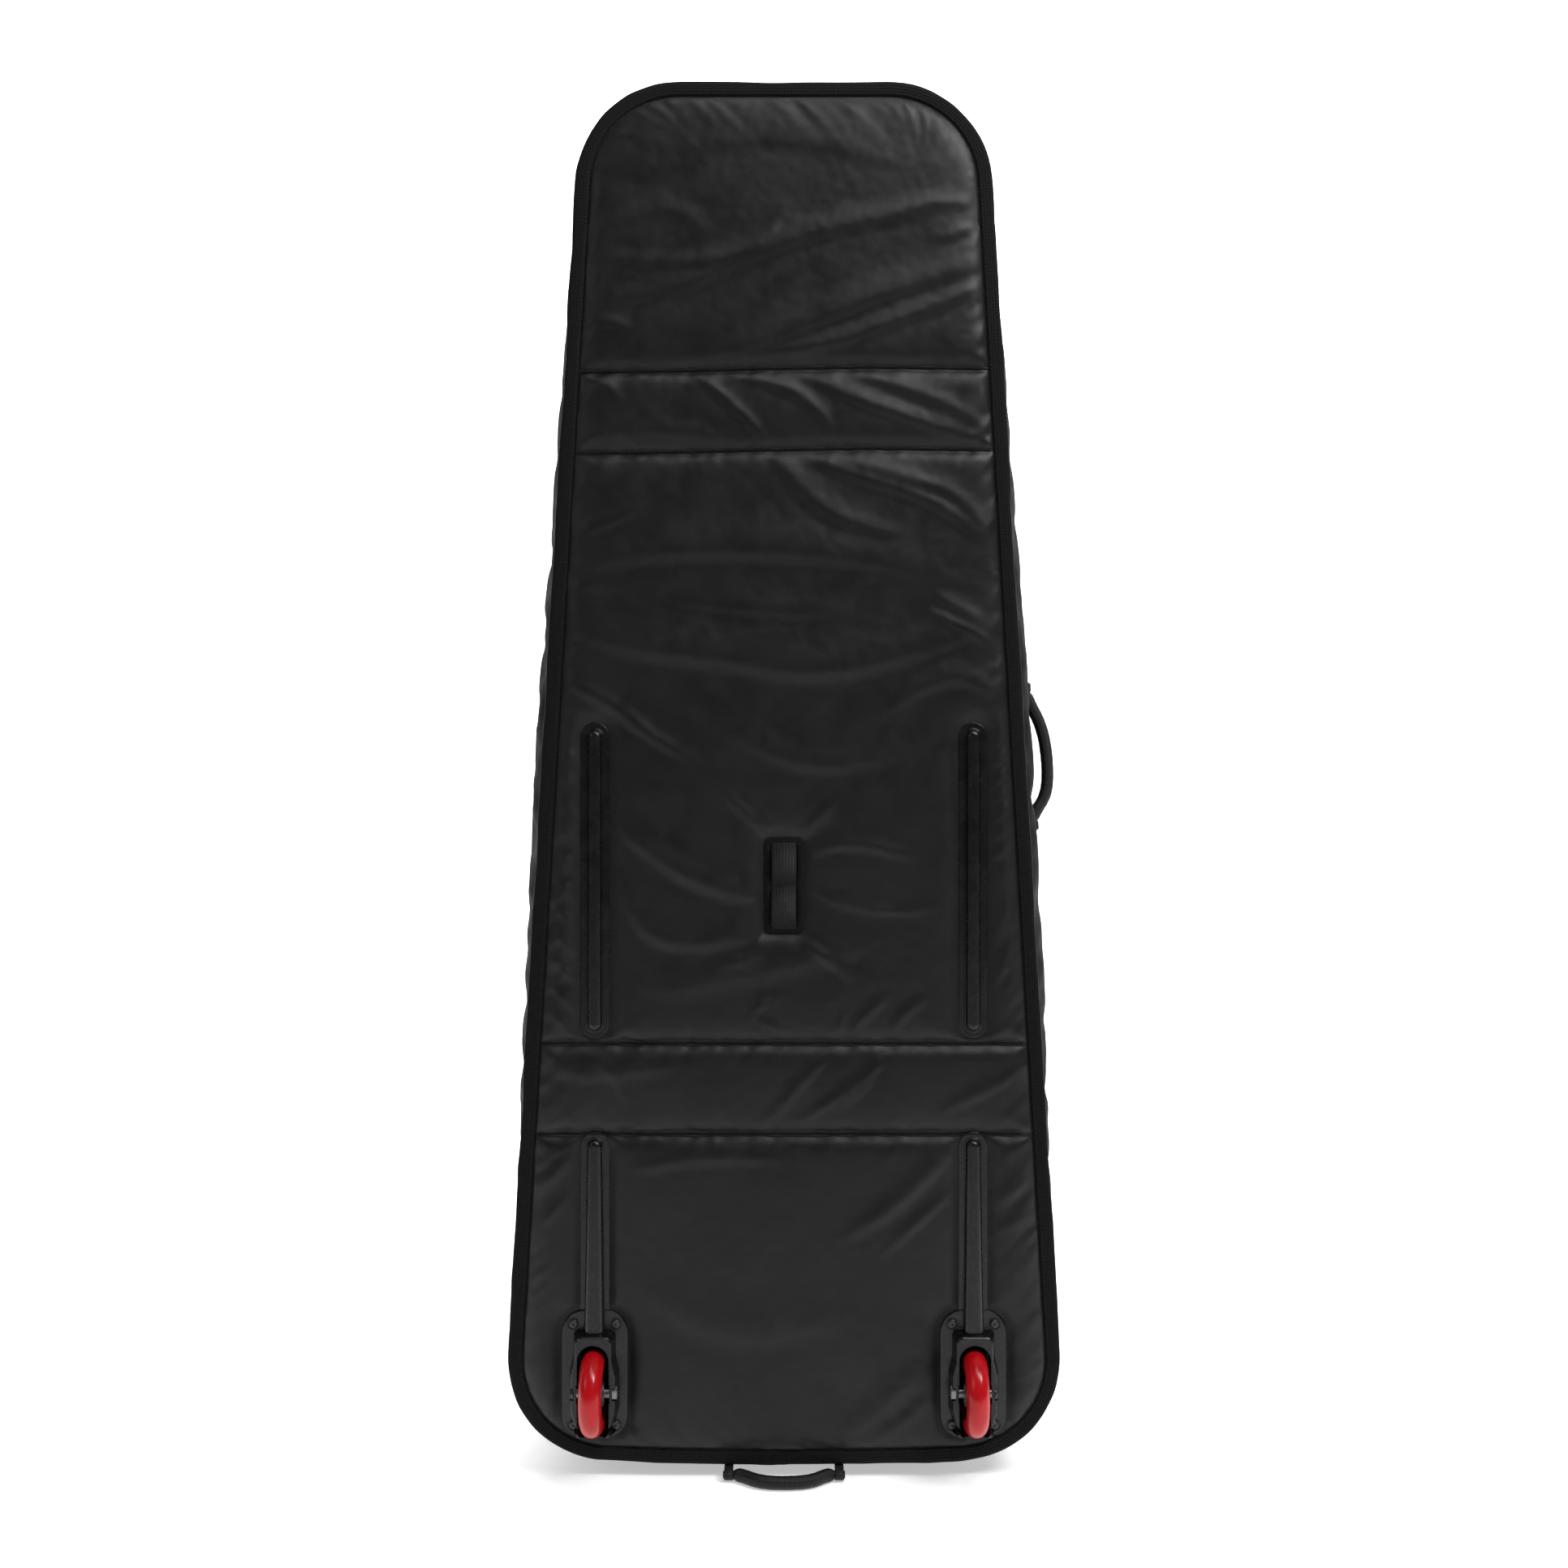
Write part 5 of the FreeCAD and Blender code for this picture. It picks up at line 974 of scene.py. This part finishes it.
# ------------------------------------------------------------------ small sewn pieces
def plate(name, outline_xy, place, across, along, normal, thick, edge=0.4):
    """A thin cushion-edged plate of cloth with that outline, standing on the surface at place."""
    flat = np.asarray(outline_xy, float)
    centre = flat.mean(0)
    shrunk = centre + (flat - centre) * (1 - edge / np.abs(flat - centre).max(0))
    place, across, along, normal = (np.asarray(a, float) for a in (place, across, along, normal))
    verts = []
    for ring, h in ((flat, 0.0), (flat, thick * 0.6), (shrunk, thick)):
        verts += [place + across * a + along * b + normal * h for a, b in ring]
    n = len(flat)
    faces = [tuple(range(n))[::-1], tuple(range(2 * n, 3 * n))]
    for level in (0, n):
        faces += [(level + i, level + (i + 1) % n, level + n + (i + 1) % n, level + n + i) for i in range(n)]
    uv = np.vstack([flat, flat, shrunk])[:, ::-1]
    return face_outwards(mesh_piece(name, verts, faces, uv=uv))


def rounded_rect(width, length, r, steps=5):
    """The corners of a rounded rectangle about the origin."""
    points = []
    for cx, cz, a0 in ((1, 1, 0), (-1, 1, 90), (-1, -1, 180), (1, -1, 270)):
        for k in range(steps + 1):
            a = math.radians(a0 + 90 * k / steps)
            points.append((cx * (width / 2 - r) + r * math.cos(a), cz * (length / 2 - r) + r * math.sin(a)))
    return np.array(points)


def strap(name, path, across, width, thick):
    """Flat webbing of that width along a path that lies in the plane square to across."""
    path = resample(smooth_line(path), spacing=1.5)
    run = np.gradient(path, axis=0)
    run /= np.linalg.norm(run, axis=1)[:, None]
    across = np.asarray(across, float)
    up = np.cross(run, across)
    w, t = width / 2, thick / 2
    section = [(-w, -t * 0.5), (-w + 0.5, -t), (w - 0.5, -t), (w, -t * 0.5),
               (w, t * 0.5), (w - 0.5, t), (0, t * 1.05), (-w + 0.5, t), (-w, t * 0.5)]
    return sweep(name, path, np.tile(across, (len(path), 1)), up, section)


GRIP_R, GRIP_END_R, AXIS_GAP = 7.0, 4.0, 8.0
TAB_WIDE, TAB_LONG = 26.0, 34.0


def grip(name, start, end, out, reach, skew=0.0):
    """A rolled and padded handle: slim where its sleeves hold it, full between."""
    start, end, out = (np.asarray(a, float) for a in (start, end, out))
    span = np.linalg.norm(end - start)
    along = (end - start) / span
    shares = [(0.0, 0.0), (12 / span, 0.0), (20 / span, 0.08), (0.30 + skew, 0.84), (0.5 + skew, 1.0),
              (0.72 + skew * 0.6, 0.82), (1 - 20 / span, 0.08), (1 - 12 / span, 0.0), (1.0, 0.0)]
    points = [start + along * span * a + out * reach * h for a, h in shares]
    path = resample(smooth_line(points, 4), spacing=2.5)
    run = np.gradient(path, axis=0)
    run /= np.linalg.norm(run, axis=1)[:, None]
    side = np.cross(along, out)
    up = np.cross(side, run)
    from_end = np.minimum((path - start) @ along, (end - path) @ along)
    radius = GRIP_END_R - 0.1 + (GRIP_R - GRIP_END_R + 0.1) * np.clip((from_end - 11.8) / 5.0, 0, 1) ** 0.5
    rng = np.random.default_rng(int(span))
    radius += np.where(from_end > 22, rng.uniform(-0.12, 0.12, len(path)), 0)
    angles = np.linspace(0, 2 * math.pi, 24, endpoint=False)
    shape = np.stack([np.cos(angles), np.sin(angles)], 1)
    seam = 1 - 0.07 * np.exp(-((angles - math.pi / 2 * 3) / 0.16) ** 2)

    def section(i):
        return shape * (radius[i] * seam)[:, None] if radius[i] > 6 else shape * radius[i]
    return sweep(name, path, np.tile(side, (len(path), 1)), up, section)


def sleeves(name, start, end, normal):
    """At both ends of a handle: a sewn patch of webbing and the loop that holds the grip."""
    start, end, normal = (np.asarray(a, float) for a in (start, end, normal))
    along = (end - start) / np.linalg.norm(end - start)
    pieces, stitches = [], []
    for k, (place, inward) in enumerate(((start, along), (end, -along))):
        across = np.cross(normal, inward)
        middle = place + inward * 6.0
        loop = [(-9.0, -AXIS_GAP + 2.1), (-6.0, -5.0), (-5.2, -1.5)]
        loop += [(5.2 * math.cos(a), 5.2 * math.sin(a)) for a in np.linspace(math.pi, 0, 13)]
        loop += [(5.2, -1.5), (6.0, -5.0), (9.0, -AXIS_GAP + 2.1)]
        path = [middle + across * a + normal * b for a, b in loop]
        pieces.append(strap(f"{name}_loop{k}", path, inward, 9.6, 1.3))
        centre = place + inward * (1 + 10 - 17) - normal * AXIS_GAP
        pieces.append(plate(f"{name}_patch{k}", rounded_rect(TAB_WIDE, TAB_LONG, 2.5), centre, across, inward,
                            normal, 1.4))
        edge_line = rounded_rect(TAB_WIDE - 4.4, TAB_LONG - 4.4, 1.5)
        on_tab = [np.vstack([edge_line, edge_line[:1]])]
        on_tab += [[(-8.5 * sx, -13), (8.5 * sx, 3)] for sx in (-1, 1)]
        for points in on_tab:
            pts = [centre + across * a + inward * b + normal * 1.45 for a, b in points]
            stitches.append((np.array(pts), normal))
    return join(name, pieces), stitches


# ------------------------------------------------------------------ the bag
finish_hard_pieces()
STITCH = small_piece("stitch_shape", (3.0, 0.5, 0.8), "stitch")
TOOTH = small_piece("tooth_shape", (1.5, 2.1, 4.0), "tooth")

well_holes = [(side * TRACK - 24, side * TRACK + 24, WELL_Z[0] + 4, WELL_Z[1] + 6) for side in (-1, 1)]
panel = padded_panel("back_panel", -1, 5.0, 16.2, well_holes, sewn_places(), SEAMS, BACK_FOLDS, 3,
                     BACK_Y + 1.1)
dress(panel, NYLON, "shell", ["back_fabric"])

front = padded_panel("front_panel", 1, 8.0, 16.2, (), (), (), [
    (3.5, 30, [(-200, 300), (-60, 420), (120, 440)]), (3.0, 26, [(-210, 760), (-40, 700), (150, 820)]),
    (3.2, 24, [(-190, 1180), (0, 1120), (180, 1240)]), (2.6, 16, [(90, 160), (190, 240), (270, 330)]),
    (2.6, 14, [(-260, 420), (-200, 470), (-150, 560)]), (2.8, 18, [(60, 960), (150, 1010), (225, 1090)])],
                     23, 93.9)
dress(front, NYLON, "lid", ["front_fabric", "front_foam"])

for name, facing, body, node, seed in (("back_tape", -1, "shell", "back_binding", 31),
                                       ("front_tape", 1, "lid", "front_binding", 37)):
    dress(binding(name, facing, seed), TAPE_WEB, body, [node])

shell_wall = wall("shell_wall", BACK_Y + 3.1, 69.7, 58.0, 2.2, 8.0, 41, True, 1.0)
dress(shell_wall, SHADED_WALL_CLOTH, "shell",
      ["tail_gusset", "nose_gusset", "left_gusset", "right_gusset"])
lid_wall = wall("lid_wall", 70.3, 96.9, 96.9, 1.2, 6.0, 43, False, 0.1)
dress(lid_wall, SHADED_WALL_CLOTH, "lid",
      ["tail_lid_wall", "nose_lid_wall", "left_lid_wall", "right_lid_wall"])

well_room = [(side * TRACK - 20.5, side * TRACK + 20.5, 43.5, 157.5) for side in (-1, 1)]
back_liner = liner("back_liner", 9.4, -87.9, -96.6, 1, well_room)
dress(back_liner, LINING, "shell", ["back_lining", "back_foam"])
front_liner = liner("front_liner", 9.4, 89.9, 93.7, -1, ())
dress(front_liner, LINING, "lid", ["front_lining"])


def scuff_pad():
    """The padded foot across the tail's wall."""
    xs = np.linspace(-150, 150, 76)
    path = np.stack([xs, np.zeros(76), np.zeros(76)], 1)

    def section(i):
        x = abs(xs[i])
        top = LIFT + WALL_OUT + x * x / (2 * CROWN_R) - 0.25
        low = 6 - math.sqrt(max(0, 36 - max(0, x - 144) ** 2))
        corner = [(6 - 6 * math.sin(a), 6 - 6 * math.cos(a)) for a in np.linspace(math.pi / 2, 0, 6)]
        left = [(-52 + a, max(low, b)) for a, b in corner]
        right = [(58 - a, max(low, b)) for a, b in corner[::-1]]
        rib = 0.5 * abs(math.sin(math.pi * xs[i] / 25.0)) ** 0.5
        return [(-52, top), (-52 - rib, 10)] + left + right + [(58 + rib, 10), (58, top), (3, top)]
    return sweep("scuff_pad", path, np.tile([0.0, 1, 0], (76, 1)), np.tile([0.0, 0, 1], (76, 1)), section)


dress(scuff_pad(), NYLON, "shell", ["tail_bumper"])


# zip: tape and teeth round all but the hinge side
def zip_line(inset, spacing):
    ring = outline(inset, spacing=spacing)
    left = (ring[:, 0] < -150) & (ring[:, 1] > SIDE_Z[0]) & (ring[:, 1] < SIDE_Z[1])
    after = np.where(left)[0].max() + 1
    order = np.r_[np.arange(after, len(ring)), np.arange(0, np.where(left)[0].min())]
    return ring[order], outward(ring)[order]


for side, body, y0, y1, tooth_y in (("shell", "shell", 58.2, 68.4, 67.7), ("lid", "lid", 71.6, 81.8, 72.3)):
    line, out = zip_line(2.4, 6.0)
    path = np.stack([line[:, 0], np.zeros(len(line)), line[:, 1]], 1)
    out3 = np.stack([out[:, 0], np.zeros(len(out)), out[:, 1]], 1)
    tape_section = [(-0.55, y0), (0.45, y0), (0.55, (y0 + y1) / 2), (0.5, y1), (-0.55, y1)]
    tape = sweep(f"zip_tape_{side}", path, out3, np.tile([0.0, 1, 0], (len(line), 1)), tape_section)
    dress(tape, TAPE_WEB, body)
    line, out = zip_line(1.75, 4.0)
    path = np.stack([line[:, 0], np.full(len(line), tooth_y), line[:, 1]], 1)
    out3 = np.stack([out[:, 0], np.zeros(len(out)), out[:, 1]], 1)
    teeth = repeat_along(f"zip_teeth_{side}", [(path, out3)], TOOTH, 2.6, COIL, (1, 1, 1))
    dress(teeth, COIL, body, [f"zip_track_{side}"])


def hinge_strip():
    """The cloth that joins lid and shell along the hinge side."""
    ring = outline(1.9, spacing=5.0)
    left = (ring[:, 0] < -150) & (ring[:, 1] > SIDE_Z[0] + 6) & (ring[:, 1] < SIDE_Z[1] - 6)
    ring, out = ring[left], outward(ring)[left]
    ys = np.linspace(56, 84, 15)
    roll = 0.5 * np.cos((ys - 70) / 14 * math.pi)
    verts = [(x + o[0] * r, y, z + o[1] * r) for (x, z), o in zip(ring, out) for y, r in zip(ys, roll)]
    n, m = len(ring), len(ys)
    index = np.arange(n * m).reshape(n, m)
    faces = np.stack([index[:-1, :-1], index[:-1, 1:], index[1:, 1:], index[1:, :-1]], -1).reshape(-1, 4)
    uv = [(5.0 * i, y) for i in range(n) for y in ys]
    return thicken(mesh_piece("hinge_strip", verts, faces, uv=uv), 0.8)


strip = hinge_strip()
dress(strip, NYLON)
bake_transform(strip)


def seam_ridge(k, z):
    """The folded edge that stands along a seam of the back panel, in the darker tape finish as painted shade
    of the seam's groove.
    """
    ring = outline(17.5, spacing=1.0)
    reach = np.abs(ring[np.abs(ring[:, 1] - z) < 2][:, 0]).min()
    xs = np.arange(-reach, reach, 4.0)
    n = len(xs)
    path = np.stack([xs, np.full(n, BACK_Y - 0.6), z + bowed(xs, np.full(n, z))], 1)
    section = [(-1.1, 0), (-0.9, 1.1), (-0.3, 1.6), (0.4, 1.55), (0.95, 1.0), (1.1, 0)]
    return sweep(f"seam_ridge{k}", path, np.tile([0.0, 0, 1], (n, 1)), np.tile([0.0, -1, 0], (n, 1)), section)


# The seams' ridges take the darker tape finish: the ridge is the real folded edge, its darkness is painted
# shade of the seam's groove.
ridges = join("shell_seams", [seam_ridge(k, q + LIFT) for k, q in enumerate(SEAMS)])
dress(ridges, TAPE_WEB, "shell")

# storage patch
patch_z, patch_y = PATCH[2], BACK_Y - 0.2
across, up, away = (1.0, 0, 0), (0, 0, 1.0), (0, -1.0, 0)
patch = plate("storage_patch_cloth", rounded_rect(PATCH[0], PATCH[1], 3), (0, patch_y, patch_z), across, up,
              away, 1.1)
dress(patch, NYLON, "shell", ["storage_patch"])
frame_path = rounded_rect(PATCH[0] - 7.5, PATCH[1] - 6.0, 1.6, 4)
frame_path = resample(frame_path, spacing=2.0, closed=True)
frame_out = outward(frame_path)
n = len(frame_path)
trim = sweep("storage_patch_tape",
             np.stack([frame_path[:, 0], np.full(n, patch_y - 1.2), frame_path[:, 1] + patch_z], 1),
             np.stack([frame_out[:, 0], np.zeros(n), frame_out[:, 1]], 1),
             np.tile(away, (n, 1)).astype(float),
             [(-3.6, 0), (3.3, 0), (3.75, 0.5), (3.3, 1.15), (0, 1.35), (-3.3, 1.15), (-3.7, 0.5)],
             closed=True)
dress(trim, TAPE_WEB, "shell", ["storage_patch_trim"])
reach = 46.5
loop_path = []
for t in np.linspace(-1, 1, 61):
    z = patch_z - t * reach
    part = (abs(t) * reach - 1.5) / (reach - 3.0)
    swell = max(0.0, 1 - abs(2 * part - 1) ** 2.6) if 0 < part < 1 else 0.0
    loop_path.append((0.0, patch_y - 2.2 - 6.9 * swell, z))
loops = strap("storage_loop_strap", loop_path, across, 25.5, 1.6)
dress(loops, LOOP_WEB, "shell", ["storage_loops"])

# handles: axis ends, the way out, reach, body and skew
TAIL_AXIS = (-109.5, 7.3)
handles = {
    "side": ((283.30, 0.0, 690.69), (273.67, 0.0, 858.69), (0.99836, 0.0, 0.05723), 20.0, "side_handle_grip",
             -0.06),
    "nose": ((-85.0, -18.0, 1501.6), (85.0, -18.0, 1501.6), (0.0, 1.0, 0.0), 42.0, "nose_handle_grip", 0.0),
    "tail": ((-65.0, *TAIL_AXIS), (65.0, *TAIL_AXIS), (0.0, -1.0, 0.0), 21.5, "tail_handle_grip", 0.0),
}
tab_stitches = []
for name, (start, end, out, reach_out, body, skew) in handles.items():
    made = grip(f"{name}_grip", start, end, out, reach_out, skew)
    dress(made, WEBBING, body, [f"{name}_handle"])
    if name != "tail":
        normal = out if name == "side" else (0.0, 0.0, 1.0)
        tabs, sewn = sleeves(f"{name}_grip_tabs", start, end, normal)
        tab_stitches += sewn
        dress(tabs, WEBBING, "shell", [f"{name}_handle_tabs"])
pieces = []
for k, x in enumerate((-59.0, 59.0)):
    tail_path = [(x, TAIL_AXIS[0] - 5.1 * math.sin(a), TAIL_AXIS[1] + 5.1 * math.cos(a))
                 for a in np.linspace(1.75 * math.pi, 0, 16)]
    pieces.append(strap(f"tail_loop{k}", tail_path + [(x, -100.0, 12.4), (x, -58.0, 12.4)], across, 9.6, 1.3))
    pieces.append(plate(f"tail_sewn{k}", rounded_rect(9.6, 36, 2), (x, -75.0, 13.15), across, (0, 1.0, 0),
                        (0, 0, 1.0), 3.3))
dress(join("tail_grip_tabs", pieces), WEBBING, "shell", ["tail_handle_tabs"])


# stitches
def flat_line(points, y):
    points = np.asarray(points, float)
    return np.stack([points[:, 0], np.full(len(points), y), points[:, 1]], 1)


def ring_stitches(inset, y, facing):
    ring = outline(inset, spacing=4.0)
    return flat_line(np.vstack([ring, ring[:1]]), y), (0.0, float(facing), 0.0)


shell_lines = [ring_stitches(13.2, BACK_Y - 1.72, -1)]
for s in SEAMS:
    ring = outline(19.0, spacing=1.0)
    for off in (-2.9, 2.9):
        z = s + LIFT + off
        reach_x = np.abs(ring[np.abs(ring[:, 1] - z) < 2][:, 0]).min()
        xs = np.linspace(-reach_x, reach_x, 120)
        on_seam = np.stack([xs, np.full(120, BACK_Y - 0.35), z + bowed(xs, np.full(120, z))], 1)
        shell_lines.append((on_seam, (0.0, -1.0, 0.0)))
for k in (-1, 0, 1):
    z = patch_z + k * 45.0
    on_loop = np.stack([np.linspace(-11, 11, 12), np.full(12, patch_y - 3.1), np.full(12, z)], 1)
    shell_lines.append((on_loop, (0.0, -1.0, 0.0)))
frame_closed = np.vstack([frame_path, frame_path[:1]]) * [0.93, 0.97]
shell_lines.append((flat_line(frame_closed + [0, patch_z], patch_y - 2.5), (0.0, -1.0, 0.0)))
line, out = zip_line(1.8, 4.0)
shell_lines.append((flat_line(line, 60.2), np.stack([out[:, 0], np.zeros(len(out)), out[:, 1]], 1)))
shell_lines += tab_stitches
dress(repeat_along("shell_stitches", shell_lines, STITCH, 4.4, THREAD, seed=5), THREAD, "shell")
lid_lines = [ring_stitches(13.2, FRONT_Y + 1.72, 1),
             (flat_line(line, 79.8), np.stack([out[:, 0], np.zeros(len(out)), out[:, 1]], 1))]
dress(repeat_along("lid_stitches", lid_lines, STITCH, 4.4, THREAD, seed=6), THREAD, "lid")
for shape in (STITCH, TOOTH):
    bpy.data.objects.remove(shape)

# ------------------------------------------------------------------ studio
def studio():
    """A pale floor that sweeps up behind the bag, soft lights and the camera."""
    depth, height, wide, radius = 3.2, 6.0, 9.0, 1.2
    profile = [(-6.0, 0.0), (depth - radius, 0.0)]
    for k in range(1, 17):
        a = math.pi / 2 * k / 16
        profile.append((depth - radius + radius * math.sin(a), radius * (1 - math.cos(a))))
    profile.append((depth, height))
    verts = [(x * wide * 1000, y * 1000, z * 1000) for x in (-1, 1) for y, z in profile]
    n = len(profile)
    faces = [(i, i + 1, n + i + 1, n + i) for i in range(n - 1)]
    floor = mesh_piece("studio_floor", verts, faces)
    mat, nodes, links, shader = material("studio white")
    shader.inputs["Base Color"].default_value = (0.93, 0.93, 0.93, 1)
    shader.inputs["Roughness"].default_value = 0.9
    shader.inputs["Emission Color"].default_value = (1, 1, 1, 1)
    place = nodes.new("ShaderNodeSeparateXYZ")
    links.new(coords(nodes, links, "Object"), place.inputs[0])
    lit = nodes.new("ShaderNodeMapRange")
    for socket, value in (("From Min", -0.7), ("From Max", -0.3), ("To Min", 0.0), ("To Max", 0.45)):
        lit.inputs[socket].default_value = value
    links.new(place.outputs["Y"], lit.inputs["Value"])
    links.new(lit.outputs[0], shader.inputs["Emission Strength"])
    floor.data.materials.append(mat)
    world = bpy.data.worlds.new("studio light")
    bpy.context.scene.world = world
    world.use_nodes = True
    world.node_tree.nodes["Background"].inputs[0].default_value = (1, 1, 1, 1)
    world.node_tree.nodes["Background"].inputs[1].default_value = 0.12
    lights = [
        ("key", (2.0, -1.7, 3.1), (0, 0, 1.0), 66.0, 1.0),
        ("nose_light", (0.7, -1.2, 2.7), (0, 0, 1.3), 15.0, 0.7),
        ("fill", (-2.6, -1.8, 2.2), (0, 0, 1.1), 8.0, 1.2),
        ("floor_front", (0.0, -0.9, 3.8), (0, -0.5, 0.0), 13.0, 1.2),
        ("sweep_left", (-1.6, 1.4, 3.0), (-0.9, 3.2, 1.2), 70.0, 1.4),
        ("sweep_right", (1.6, 1.4, 3.0), (0.9, 3.2, 1.2), 70.0, 1.4),
        ("floor_back", (0.0, 1.6, 3.4), (0, 1.6, 0.0), 50.0, 2.2),
    ]
    for name, place, aim, power, size in lights:
        data = bpy.data.lights.new(name, "AREA")
        data.energy, data.size = power, size
        light = bpy.data.objects.new(name, data)
        light.location = place
        light.rotation_euler = (Vector(aim) - Vector(place)).to_track_quat("-Z", "Y").to_euler()
        bpy.context.scene.collection.objects.link(light)
    data = bpy.data.cameras.new("camera")
    data.sensor_width, data.lens = 36.0, 37.27
    camera = bpy.data.objects.new("camera", data)
    camera.location = (0.0, -1.840, 0.7436)
    camera.rotation_euler = (math.pi / 2, 0, 0)
    bpy.context.scene.collection.objects.link(camera)
    bpy.context.scene.camera = camera
    bpy.context.scene.view_settings.view_transform = "Standard"


studio()
